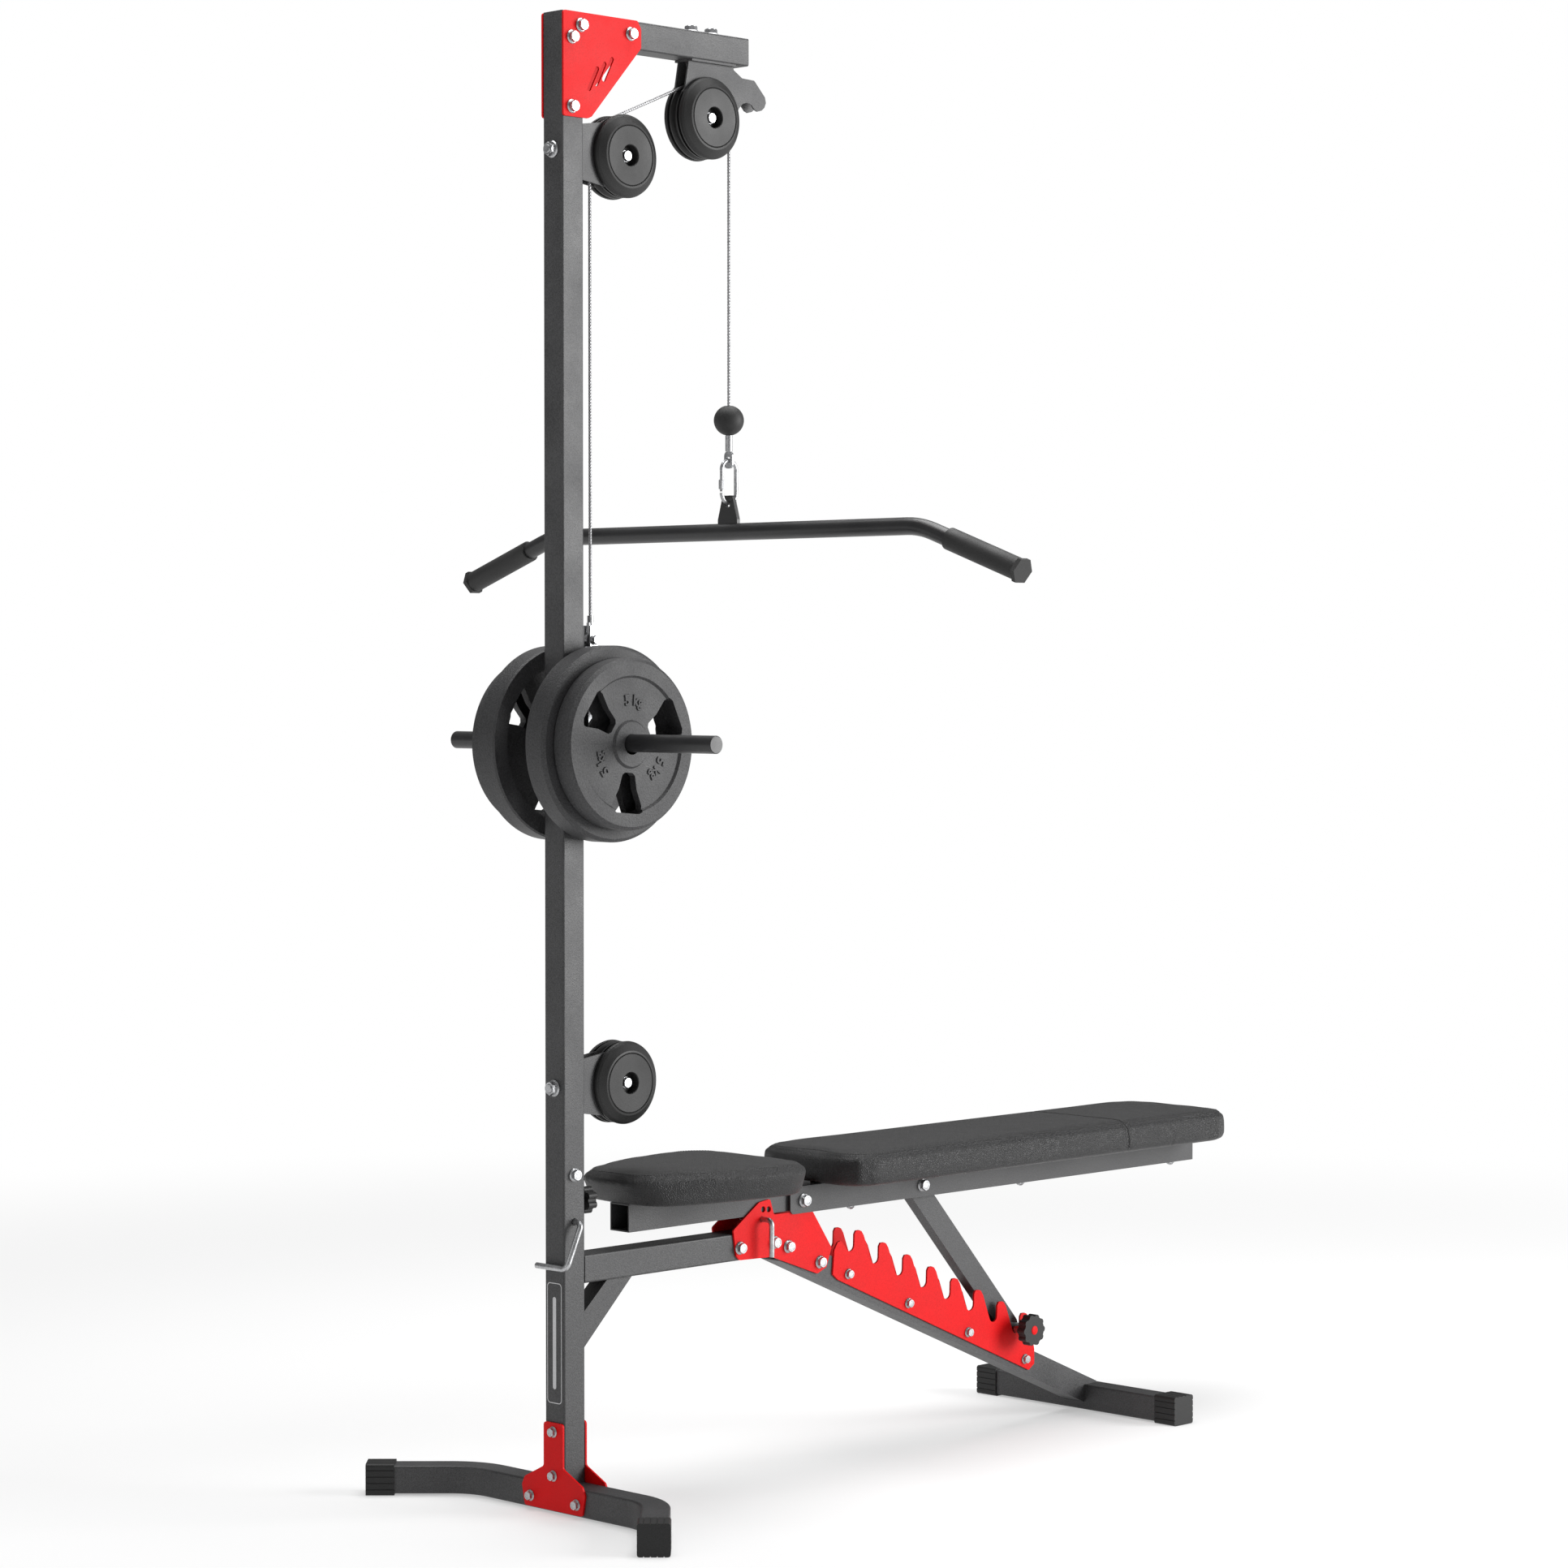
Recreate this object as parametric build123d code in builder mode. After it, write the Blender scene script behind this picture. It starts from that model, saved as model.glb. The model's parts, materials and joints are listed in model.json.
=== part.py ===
"""Multi station home gym: a cable tower with a weight carriage, and a bench with a backrest on a toothed ladder.

Millimetres, +Z up. +X runs from the tower towards the head end of the bench, and the object is
symmetric about Y = 0 apart from its pins and knobs. The origin is on the floor, at the centre of the
object's bounding box. Distances called "forward" are measured along +X from the tower post's axis.
"""
from build123d import *
import math
import os

# ---------------------------------------------------------------- driving dimensions
TUBE = 40.0                 # square frame tube
WALL = 2.0                  # frame tube wall
TUBE_EDGE = 3.0             # outer corner radius of the frame tube
PLATE = 3.0                 # laser-cut plate thickness
HALF = TUBE / 2             # where a plate lies against a tube

FOOT_BACK = -129.2          # rearmost reach of the tower foot's caps, forward of the post axis
BENCH_END = 1371.0          # head end of the back pad
POST_X = -(FOOT_BACK + BENCH_END) / 2   # post axis in the object's frame

FOOT_LIFT = 2.5             # foot tubes stand this far off the floor, on their caps
FOOT_TOP = FOOT_LIFT + TUBE
POST_SPLIT = 454.0          # seam between the lower and the upper post
TOWER_TOP = 2101.0
ARM_END = 345.0
ARM_BASE = TOWER_TOP - TUBE

BOLT = 4.9                  # M10 shank radius
HOLE = 5.1                  # its clearance hole
SMALL_BOLT = 3.9
SMALL_HOLE = 4.1

PULLEY_RADIUS = 59.0        # wheels and side covers
CABLE_RADIUS = 54.0         # cable centre line on a wheel
CABLE = 2.3                 # cable radius
AXLE = 5.0                  # pulley axle radius
UPPER_PULLEY = (104.0, 1910.0)
FRONT_PULLEY = (270.0, 1979.0)
LOW_PULLEY = (102.0, 600.0)
REAR_CABLE = UPPER_PULLEY[0] - CABLE_RADIUS
FRONT_CABLE = FRONT_PULLEY[0] + CABLE_RADIUS
BALL_Z = 1548.0
BALL_RADIUS = 22.0

PIN_RADIUS = 12.5           # weight pin
PIN_FORWARD = 34.5
PIN_Z = 1084.0
PIN_REACH = 270.0
PLATE_BORE = 14.5           # bore of a weight plate
PLATE_DROP = 1.7            # a plate hangs this far below the pin's axis

BEAM_BASE = 323.0           # main beam, underside
BEAM_END = 408.0
LEG_ANGLE = -23.4           # slope of the bench leg, degrees
PIVOT = (454.0, 400.0)      # seat and backrest pivot
SEAT_PIN = (369.0, 379.6)
SUPPORT_PIVOT = (713.0, 399.0)
CATCH_BAR = (933.0, 154.0)
CATCH_RADIUS = 8.0
NOTCHES = 8
NOTCH_PITCH = (53.8, -24.0)
FIRST_NOTCH = (556.0, 313.0)
BENCH_FOOT_X = 1120.5       # axis of the bench foot

BAR_Z = 1386.0              # lat bar axis
BAR_BEND = 380.0            # half length of its straight middle
BAR_REACH = 565.0
BAR_DROP = 65.0
BAR_RADIUS = 12.5

os.makedirs("parts", exist_ok=True)


# ---------------------------------------------------------------- planes and shared features
def side_plane(y=0.0):
    """Upright plane facing -Y: sketches are drawn as (forward, height), and extrude towards -Y."""
    return Plane(origin=(POST_X, y, 0), x_dir=(1, 0, 0), z_dir=(0, -1, 0))


def floor_plane(z=0.0):
    """Level plane at height z: sketches are drawn as (forward, y), and extrude upwards."""
    return Plane(origin=(POST_X, 0, z), x_dir=(1, 0, 0), z_dir=(0, 0, 1))


def front_plane(forward=0.0):
    """Upright plane facing +X: sketches are drawn as (y, height), and extrude forwards."""
    return Plane(origin=(POST_X + forward, 0, 0), x_dir=(0, 1, 0), z_dir=(1, 0, 0))


def save(part, label):
    part.label = label
    export_step(part, f"parts/{label}.step")


def tube_section(size=TUBE, wall=WALL):
    RectangleRounded(size, size, TUBE_EDGE)
    RectangleRounded(size - 2 * wall, size - 2 * wall, TUBE_EDGE - wall, mode=Mode.SUBTRACT)


def rounded_outline(points, radius):
    with BuildLine() as outline:
        Polyline(*points, close=True)
    make_face(outline.edges())
    if radius:
        fillet(vertices(), radius)


def holes_along_y(places, radius, reach=40.0):
    with BuildSketch(side_plane()) as holes:
        with Locations(*places):
            Circle(radius)
    extrude(holes.sketch, amount=reach, both=True, mode=Mode.SUBTRACT)


def holes_along_x(places, radius, reach=40.0):
    with BuildSketch(front_plane()) as holes:
        with Locations(*places):
            Circle(radius)
    extrude(holes.sketch, amount=reach, both=True, mode=Mode.SUBTRACT)


def bolts(plane_at, places, low, high, shank, flange, head, nut=None):
    """Flange bolts clamping from low to high along the plane's normal; nut is the nut's own (flange, head)."""
    normal = plane_at(low).z_dir
    with BuildSketch(plane_at(low)) as shanks:
        with Locations(*places):
            Circle(shank)
    extrude(shanks.sketch, amount=high - low, dir=normal)
    for start, sign, sizes in ((low, -1, (flange, head)), (high, 1, nut or (flange, head))):
        with BuildSketch(plane_at(start)) as flanges:
            with Locations(*places):
                Circle(sizes[0])
        extrude(flanges.sketch, amount=2.0, dir=normal * sign)
        with BuildSketch(plane_at(start).offset(2.0 * sign)) as heads:
            with Locations(*places):
                RegularPolygon(sizes[1], 6)
        extrude(heads.sketch, amount=6.0, dir=normal * sign)


def arm_plane(drop):
    """Level plane facing down, for the bolts that hang the front bracket: sketched as (forward, -y)."""
    return Plane(origin=(POST_X, 0, -drop), x_dir=(1, 0, 0), z_dir=(0, 0, -1))


def along_y(near):
    """Plane a distance towards the near side (-Y), for parts clamped along Y."""
    return side_plane(-near)


# ---------------------------------------------------------------- tower foot
ARM_TIP = (-111.0, 298.0)
ARM_CORNER = (0.0, 187.0)
ARM_BEND = 95.0
CAP_SIZE = 45.5
CAP_LENGTH = 38.0
CAP_WALL = 3.0
CAP_GAP = 0.2
CAP_GROOVES = (-13.8, -4.6, 4.6, 13.8)
GROOVE_WIDTH = 1.6
GROOVE_DEPTH = 1.2


def foot_cap(tip, direction):
    """Ribbed plastic cap pushed over a foot tube's end; tip is the middle of the tube's end."""
    end = Plane(origin=(POST_X + tip[0], tip[1], 0), x_dir=(0, 0, 1), z_dir=(direction[0], direction[1], 0))
    with BuildSketch(end.offset(CAP_WALL)) as shell:
        with Locations((CAP_SIZE / 2, 0)):
            RectangleRounded(CAP_SIZE, CAP_SIZE, 4.0)
        edge = CAP_SIZE / 2
        for step in CAP_GROOVES:
            with Locations((edge + step, edge), (edge + step, -edge)):
                Rectangle(GROOVE_WIDTH, 2 * GROOVE_DEPTH, mode=Mode.SUBTRACT)
            with Locations((0, step), (CAP_SIZE, step)):
                Rectangle(2 * GROOVE_DEPTH, GROOVE_WIDTH, mode=Mode.SUBTRACT)
    extrude(shell.sketch, amount=-CAP_LENGTH - CAP_WALL)
    with BuildSketch(end.offset(CAP_GAP)) as pocket:
        with Locations((FOOT_LIFT + HALF, 0)):
            RectangleRounded(TUBE + 2 * CAP_GAP, TUBE + 2 * CAP_GAP, TUBE_EDGE)
    extrude(pocket.sketch, amount=-CAP_LENGTH - 2 * CAP_GAP, mode=Mode.SUBTRACT)


FOOT_ROUTE = [ARM_TIP, ARM_CORNER, (ARM_CORNER[0], -ARM_CORNER[1]), (ARM_TIP[0], -ARM_TIP[1])]
with BuildPart() as tower_foot:
    with BuildLine(floor_plane(FOOT_LIFT + HALF)) as foot_route:
        FilletPolyline(*FOOT_ROUTE, radius=ARM_BEND)
    with BuildSketch(Plane(origin=foot_route.line @ 0, x_dir=(0, 0, 1), z_dir=foot_route.line % 0)):
        tube_section()
    sweep(path=foot_route.line)
    holes_along_x([(48, 20), (-48, 20)], SMALL_HOLE)
save(tower_foot.part, "tower_foot")

DIAGONAL = math.sqrt(0.5)
with BuildPart() as tower_foot_caps:
    foot_cap(ARM_TIP, (-DIAGONAL, DIAGONAL))
    foot_cap((ARM_TIP[0], -ARM_TIP[1]), (-DIAGONAL, -DIAGONAL))
save(tower_foot_caps.part, "tower_foot_caps")

GUSSET = [(-20, 129), (20, 129), (20, 66), (60, 46), (66, 34), (60, 5), (-60, 5), (-66, 34), (-60, 46), (-20, 66)]
GUSSET_BOLTS = [(0, 116), (0, 54), (48, 20), (-48, 20)]
with BuildPart() as foot_gussets:
    for face in (HALF, -HALF - PLATE):
        with BuildSketch(front_plane(face)):
            rounded_outline(GUSSET, 5.0)
        extrude(amount=PLATE)
    holes_along_x(GUSSET_BOLTS, SMALL_HOLE)
save(foot_gussets.part, "foot_gussets")

# ---------------------------------------------------------------- posts and arm
BRACKET_BOLTS = [(0, UPPER_PULLEY[1]), (0, LOW_PULLEY[1])]
POST_BOLT = [(0, 478)]
TOWER_PIN = [(0, 412)]
KNOB_Z = 438.0
SPIGOT_REACH = 110.0

with BuildPart() as lower_post:
    with BuildSketch(floor_plane(FOOT_TOP)):
        tube_section()
    extrude(amount=POST_SPLIT - FOOT_TOP)
    holes_along_x(GUSSET_BOLTS[:2], SMALL_HOLE)
    holes_along_y(TOWER_PIN, HOLE)
    with BuildSketch(front_plane()):
        with Locations((0, KNOB_Z)):
            Circle(HOLE)
    extrude(amount=TUBE, mode=Mode.SUBTRACT)
save(lower_post.part, "lower_post")

SPIGOT_SIZE = TUBE - 2 * WALL - 0.6
with BuildPart() as post_spigot:
    with BuildSketch(floor_plane(POST_SPLIT - SPIGOT_REACH)):
        tube_section(SPIGOT_SIZE)
    extrude(amount=2 * SPIGOT_REACH)
    holes_along_y(TOWER_PIN + POST_BOLT, HOLE)
    with BuildSketch(front_plane()):
        with Locations((0, KNOB_Z)):
            Circle(HOLE)
    extrude(amount=TUBE, mode=Mode.SUBTRACT)
save(post_spigot.part, "post_spigot")

HEAD_BOLTS = [(13, 2083), (-4, 2065), (108, 2081), (-4, 1969)]
with BuildPart() as upper_post:
    with BuildSketch(floor_plane(POST_SPLIT)):
        tube_section()
    extrude(amount=TOWER_TOP - POST_SPLIT)
    holes_along_y(POST_BOLT + HEAD_BOLTS, HOLE)
    holes_along_x(BRACKET_BOLTS, HOLE)
save(upper_post.part, "upper_post")

ARM_BOLTS = [(248, 0), (288, 0)]
with BuildPart() as top_arm:
    with BuildSketch(front_plane(HALF)):
        with Locations((0, ARM_BASE + HALF)):
            tube_section()
    extrude(amount=ARM_END - HALF)
    holes_along_y(HEAD_BOLTS, HOLE)
    with BuildSketch(floor_plane(ARM_BASE - 5)):
        with Locations(*ARM_BOLTS):
            Circle(HOLE)
    extrude(amount=TUBE + 10, mode=Mode.SUBTRACT)
save(top_arm.part, "top_arm")

HEAD_OUTLINE = [(-20, 2101), (121, 2101), (128, 2090), (128, 2063), (33, 1958), (26, 1955), (-20, 1955)]
SLOT_CENTRES = [(36, 2011), (50, 2019), (64, 2027)]
with BuildPart() as head_plates:
    for face in (-HALF, HALF + PLATE):
        with BuildSketch(side_plane(face)):
            rounded_outline(HEAD_OUTLINE, 4.0)
            with Locations(*SLOT_CENTRES):
                SlotOverall(40, 7, rotation=62, mode=Mode.SUBTRACT)
        extrude(amount=PLATE)
    holes_along_y(HEAD_BOLTS, HOLE)
save(head_plates.part, "head_plates")

PLUG = TUBE - 2 * WALL - 0.2
PLUG_DEPTH = 12.0
BACK_RAIL_END = 1367.0
SEAT_RAIL_FRONT = 105.0
SEAT_RAIL = 39.0
with BuildPart() as tube_caps:
    with BuildSketch(floor_plane(TOWER_TOP - PLUG_DEPTH)):
        RectangleRounded(PLUG, PLUG, 1.0)
    extrude(amount=PLUG_DEPTH)
    with BuildSketch(front_plane(ARM_END - PLUG_DEPTH)):
        with Locations((0, ARM_BASE + HALF)):
            RectangleRounded(PLUG, PLUG, 1.0)
    extrude(amount=PLUG_DEPTH)
    holes_along_y([HEAD_BOLTS[0]], HOLE + 2)
save(tube_caps.part, "tube_caps")

# ---------------------------------------------------------------- clamp knob and tower pin
with BuildPart() as clamp_knob:
    with BuildSketch(front_plane(30)):
        with Locations((0, KNOB_Z)):
            Circle(16)
            with PolarLocations(14.5, 7):
                Circle(5.2)
    extrude(amount=15)
    with BuildSketch(front_plane(15)):
        with Locations((0, KNOB_Z)):
            Circle(BOLT)
    extrude(amount=16)
save(clamp_knob.part, "clamp_knob")


def bent_rod(points, bend, radius):
    with BuildLine() as route:
        FilletPolyline(*[(POST_X + forward, y, z) for forward, y, z in points], radius=bend)
    with BuildSketch(Plane(origin=route.line @ 0, z_dir=route.line % 0)) as section:
        Circle(radius)
    sweep(section.sketch, path=route.line)


ROD = 4.2
with BuildPart() as tower_lock_pin:
    bent_rod([(0, 27, 412), (0, -35, 412), (-29, -35, 349), (-29, 27, 349)], 9.0, ROD)
save(tower_lock_pin.part, "tower_lock_pin")

# ---------------------------------------------------------------- pulleys
CHEEK_INNER = 8.5
COVER_BACK = 12.0
COVER_FACE = 27.0
COVER_BORE = 15.0
BEARING = 16.0
BRACKET_HALF = 38.0
BRACKET_END = 50.0


def at_axle(centre):
    """Plane whose local X runs outward from the pulley axle and whose local Y runs along it (+Y)."""
    return Plane(origin=(POST_X + centre[0], 0, centre[1]), x_dir=(1, 0, 0), z_dir=(0, 0, 1))


def axle_axis(centre):
    return Axis(origin=(POST_X + centre[0], 0, centre[1]), direction=(0, 1, 0))


def pulley_wheel(centre, label):
    rim = [(BEARING + 0.05, -6), (24, -6), (30, -4), (44, -4), (48, -7.8), (58, -7.8), (58, -5.5)]
    with BuildPart() as wheel:
        with BuildSketch(at_axle(centre)):
            with BuildLine():
                Polyline(*rim)
                Line(rim[-1], (53, -2.7))
                ThreePointArc((53, -2.7), (51.2, 0), (53, 2.7))
                Line((53, 2.7), (58, 5.5))
                Polyline(*[(radius, -y) for radius, y in reversed(rim)])
                Line((BEARING + 0.05, 6), (BEARING + 0.05, -6))
            make_face()
        revolve(axis=axle_axis(centre))
    save(wheel.part, f"{label}_wheel")


def pulley_bearing(centre, label):
    with BuildPart() as bearing:
        with BuildSketch(at_axle(centre)):
            with Locations(((AXLE + 0.3 + BEARING) / 2, 0)):
                Rectangle(BEARING - AXLE - 0.3, 10)
            with Locations(((AXLE + 0.3 + BEARING) / 2, 5), ((AXLE + 0.3 + BEARING) / 2, -5)):
                Rectangle(4, 1.6, mode=Mode.SUBTRACT)
        revolve(axis=axle_axis(centre))
    save(bearing.part, f"{label}_bearing")


def pulley_covers(centre, label):
    face = [
        (AXLE + 0.1, COVER_BACK), (AXLE + 0.1, 14), (COVER_BORE, 14), (COVER_BORE, COVER_FACE - 1),
        (COVER_BORE + 1, COVER_FACE), (41.2, COVER_FACE), (42.3, COVER_FACE - 1.2), (43.4, COVER_FACE),
        (46, COVER_FACE - 0.5), (55.5, 20.5), (58.2, 17.8), (PULLEY_RADIUS, 15.5), (58.6, COVER_BACK + 0.6),
        (58, COVER_BACK),
    ]
    with BuildPart() as covers:
        with BuildSketch(at_axle(centre)):
            with BuildLine():
                Polyline(*face, close=True)
            make_face()
        revolve(axis=axle_axis(centre))
        mirror(about=Plane.XZ)
    save(covers.part, f"{label}_covers")


def post_bracket(centre, label):
    """Folded bracket bolted to the post's front face, with two cheeks that carry the axle."""
    depth = CHEEK_INNER + PLATE
    with BuildPart() as bracket:
        with BuildSketch(side_plane(depth)):
            with BuildLine():
                Polyline((HALF, centre[1] + BRACKET_HALF), (HALF, centre[1] - BRACKET_HALF))
                CenterArc(centre, BRACKET_END, -90, 180)
            make_hull()
        extrude(amount=2 * depth)
        with BuildSketch(side_plane(CHEEK_INNER)):
            with Locations((HALF + PLATE + 100, centre[1])):
                Rectangle(200, 200)
        extrude(amount=2 * CHEEK_INNER, mode=Mode.SUBTRACT)
        holes_along_y([centre], AXLE + 0.1)
        with BuildSketch(front_plane()):
            with Locations((0, centre[1])):
                Circle(HOLE)
        extrude(amount=TUBE, mode=Mode.SUBTRACT)
    save(bracket.part, f"{label}_bracket")


for name, centre in (("upper_pulley", UPPER_PULLEY), ("low_pulley", LOW_PULLEY)):
    post_bracket(centre, name)

HOOK_OUTLINE = [
    (233, ARM_BASE), (219, 1985), (270, 1955), (320, 1975), (334, 2000), (341, 2007), (351, 2010), (360, 2007),
    (366, 2001), (372, 1999), (380, 2001), (386, 2006), (389, 2013), (387, 2021), (365, 2043), (340, 2044), (323, 2054), (321, ARM_BASE),
]
FLANGE_WIDTH = 36.0
with BuildPart() as front_bracket:
    for face in (-CHEEK_INNER, CHEEK_INNER + PLATE):
        with BuildSketch(side_plane(face)):
            with BuildLine():
                Polyline(*HOOK_OUTLINE, close=True)
            make_face()
            with Locations(FRONT_PULLEY):
                Circle(BRACKET_END)
        extrude(amount=PLATE)
    with BuildSketch(floor_plane(ARM_BASE)):
        with Locations((277, 0)):
            Rectangle(88, FLANGE_WIDTH)
    extrude(amount=-PLATE)
    with BuildSketch(floor_plane(ARM_BASE + 1)):
        with Locations(*ARM_BOLTS):
            Circle(HOLE)
    extrude(amount=-10, mode=Mode.SUBTRACT)
    holes_along_y([FRONT_PULLEY], AXLE + 0.1)
save(front_bracket.part, "front_pulley_bracket")

for name, centre in (("upper_pulley", UPPER_PULLEY), ("front_pulley", FRONT_PULLEY), ("low_pulley", LOW_PULLEY)):
    pulley_wheel(centre, name)
    pulley_bearing(centre, name)
    pulley_covers(centre, name)

# ---------------------------------------------------------------- cable
CLEVIS_TOP = 1248.0
EYE_Z = 1228.0
CABLE_LOW = 1262.0


def cable_run(forward, low, high, label):
    with BuildPart() as run:
        with BuildSketch(floor_plane(low)):
            with Locations((forward, 0)):
                Circle(CABLE)
        extrude(amount=high - low)
    save(run.part, label)


cable_run(REAR_CABLE, CABLE_LOW, UPPER_PULLEY[1], "cable_rear_run")
cable_run(FRONT_CABLE, BALL_Z + BALL_RADIUS - 1, FRONT_PULLEY[1], "cable_front_run")

RISE = math.degrees(math.atan2(FRONT_PULLEY[1] - UPPER_PULLEY[1], FRONT_PULLEY[0] - UPPER_PULLEY[0]))
with BuildPart() as cable_over_pulleys:
    with BuildLine(side_plane()) as over_route:
        first = CenterArc(UPPER_PULLEY, CABLE_RADIUS, 180, RISE - 90)
        second = CenterArc(FRONT_PULLEY, CABLE_RADIUS, 90 + RISE, -90 - RISE)
        Line(first @ 1, second @ 0)
    with BuildSketch(floor_plane(UPPER_PULLEY[1])):
        with Locations((REAR_CABLE, 0)):
            Circle(CABLE)
    sweep(path=over_route.wires()[0])
save(cable_over_pulleys.part, "cable_over_pulleys")

with BuildPart() as stop_ball:
    with BuildSketch(Plane(origin=(POST_X + FRONT_CABLE, 0, BALL_Z), x_dir=(1, 0, 0), z_dir=(0, -1, 0))):
        Circle(BALL_RADIUS)
        Rectangle(2 * BALL_RADIUS, 2 * BALL_RADIUS, align=(Align.MAX, Align.CENTER), mode=Mode.SUBTRACT)
    revolve(axis=Axis(origin=(POST_X + FRONT_CABLE, 0, BALL_Z), direction=(0, 0, 1)))
    with BuildSketch(floor_plane(BALL_Z + BALL_RADIUS - 1)):
        with Locations((FRONT_CABLE, 0)):
            Circle(6)
    extrude(amount=3, mode=Mode.SUBTRACT)
save(stop_ball.part, "stop_ball")

WIRE = 3.0                  # snap hook wire radius
HOOK_BEND = 14.5
HOOK_TOP = 1475.5
HOOK_LOW = 1442.5
with BuildPart() as cable_eye:
    with BuildSketch(floor_plane(1503)):
        with Locations((FRONT_CABLE, 0)):
            Circle(5.2)
    extrude(amount=BALL_Z - BALL_RADIUS + 0.5 - 1503)
    with BuildSketch(front_plane(FRONT_CABLE - 1.5)):
        with Locations((0, 1490.75)):
            RectangleRounded(17, 25, 7)
        with Locations((0, 1491)):
            Circle(WIRE + 1.4, mode=Mode.SUBTRACT)
    extrude(amount=3)
    with BuildSketch(floor_plane(BALL_Z - BALL_RADIUS)):
        with Locations((FRONT_CABLE, 0)):
            Circle(8)
    extrude(amount=3, mode=Mode.SUBTRACT)
save(cable_eye.part, "cable_eye_terminal")

GATE_LOW = HOOK_LOW + 2.0   # the gate's hinge, clear of the wire's end as it swings in
with BuildPart() as snap_hook_body:
    with BuildLine(side_plane()) as hook_route:
        lower_bend = CenterArc((FRONT_CABLE, HOOK_LOW), HOOK_BEND, 180, 180)
        upper_bend = CenterArc((FRONT_CABLE, HOOK_TOP), HOOK_BEND, 0, 180)
        Line(lower_bend @ 1, upper_bend @ 0)
    with BuildSketch(floor_plane(HOOK_LOW)):
        with Locations((FRONT_CABLE - HOOK_BEND, 0)):
            Circle(WIRE)
    sweep(path=hook_route.wires()[0])
save(snap_hook_body.part, "snap_hook_body")

with BuildPart() as snap_hook_gate:
    with BuildSketch(floor_plane(GATE_LOW)):
        with Locations((FRONT_CABLE - HOOK_BEND, 0)):
            Circle(WIRE - 0.3)
    extrude(amount=HOOK_TOP - 0.3 - GATE_LOW)
save(snap_hook_gate.part, "snap_hook_gate")

# ---------------------------------------------------------------- lat bar
TAB_HOLE_Z = 1426.4
BAR_POINTS = [(-BAR_REACH, BAR_Z - BAR_DROP), (-BAR_BEND, BAR_Z), (BAR_BEND, BAR_Z), (BAR_REACH, BAR_Z - BAR_DROP)]
ARM_TILT = math.atan2(BAR_DROP, BAR_REACH - BAR_BEND)
with BuildPart() as lat_bar:
    with BuildLine(front_plane(FRONT_CABLE)) as bar_route:
        FilletPolyline(*BAR_POINTS, radius=150)
    with BuildSketch(Plane(origin=bar_route.line @ 0, x_dir=(1, 0, 0), z_dir=bar_route.line % 0)):
        Circle(BAR_RADIUS)
    sweep(path=bar_route.line)
    with BuildSketch(front_plane(FRONT_CABLE - 3)):
        rounded_outline([(-20, BAR_Z), (20, BAR_Z), (20, 1404), (10, 1439), (-10, 1439), (-20, 1404)], 3.0)
    extrude(amount=6)
    with BuildSketch(front_plane(FRONT_CABLE - 5)):
        with Locations((0, TAB_HOLE_Z)):
            Circle(WIRE + 2)
    extrude(amount=10, mode=Mode.SUBTRACT)
    with BuildSketch(Plane(origin=bar_route.line @ 0, x_dir=(1, 0, 0), z_dir=bar_route.line % 0)):
        Circle(BAR_RADIUS - 2.5)
    sweep(path=bar_route.line, mode=Mode.SUBTRACT)
save(lat_bar.part, "lat_bar")

GRIP_LENGTH = 138.0
GRIP_RADIUS = 16.0
with BuildPart() as lat_bar_grips:
    for side in (1, -1):
        outward = Vector(0, side * math.cos(ARM_TILT), -math.sin(ARM_TILT))
        tip = Vector(POST_X + FRONT_CABLE, side * BAR_REACH, BAR_Z - BAR_DROP)
        end = Plane(origin=tip + outward * 4, x_dir=(1, 0, 0), z_dir=outward)
        with BuildSketch(end):
            Circle(GRIP_RADIUS)
        extrude(amount=-GRIP_LENGTH - 4)
        with BuildSketch(end):
            RegularPolygon(19, 6)
        extrude(amount=-7)
        with BuildSketch(end.offset(-3.8)):
            Circle(BAR_RADIUS + 0.1)
        extrude(amount=-GRIP_LENGTH - 4, mode=Mode.SUBTRACT)
save(lat_bar_grips.part, "lat_bar_grips")

# ---------------------------------------------------------------- weight carriage
SLEEVE = 50.0
SLEEVE_WALL = 3.0
SLEEVE_LOW = 1034.0
SLEEVE_HIGH = 1144.0
LINER_GAP = 0.4
COLLAR = 20.0
with BuildPart() as carriage_sleeve:
    with BuildSketch(floor_plane(SLEEVE_LOW)):
        tube_section(SLEEVE, SLEEVE_WALL - 0.5)
    extrude(amount=SLEEVE_HIGH - SLEEVE_LOW)
    with BuildSketch(side_plane(PIN_REACH)):
        with Locations((PIN_FORWARD, PIN_Z)):
            Circle(PIN_RADIUS)
    extrude(amount=2 * PIN_REACH, mode=Mode.SUBTRACT)
save(carriage_sleeve.part, "carriage_sleeve")

LINER_HEIGHT = 24.0
with BuildPart() as carriage_liners:
    for base in (SLEEVE_LOW, SLEEVE_HIGH - LINER_HEIGHT):
        with BuildSketch(floor_plane(base)):
            RectangleRounded(SLEEVE - 2 * SLEEVE_WALL + 0.8, SLEEVE - 2 * SLEEVE_WALL + 0.8, 0.4)
            RectangleRounded(TUBE + 2 * LINER_GAP, TUBE + 2 * LINER_GAP, TUBE_EDGE, mode=Mode.SUBTRACT)
        extrude(amount=LINER_HEIGHT)
save(carriage_liners.part, "carriage_liners")

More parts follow.
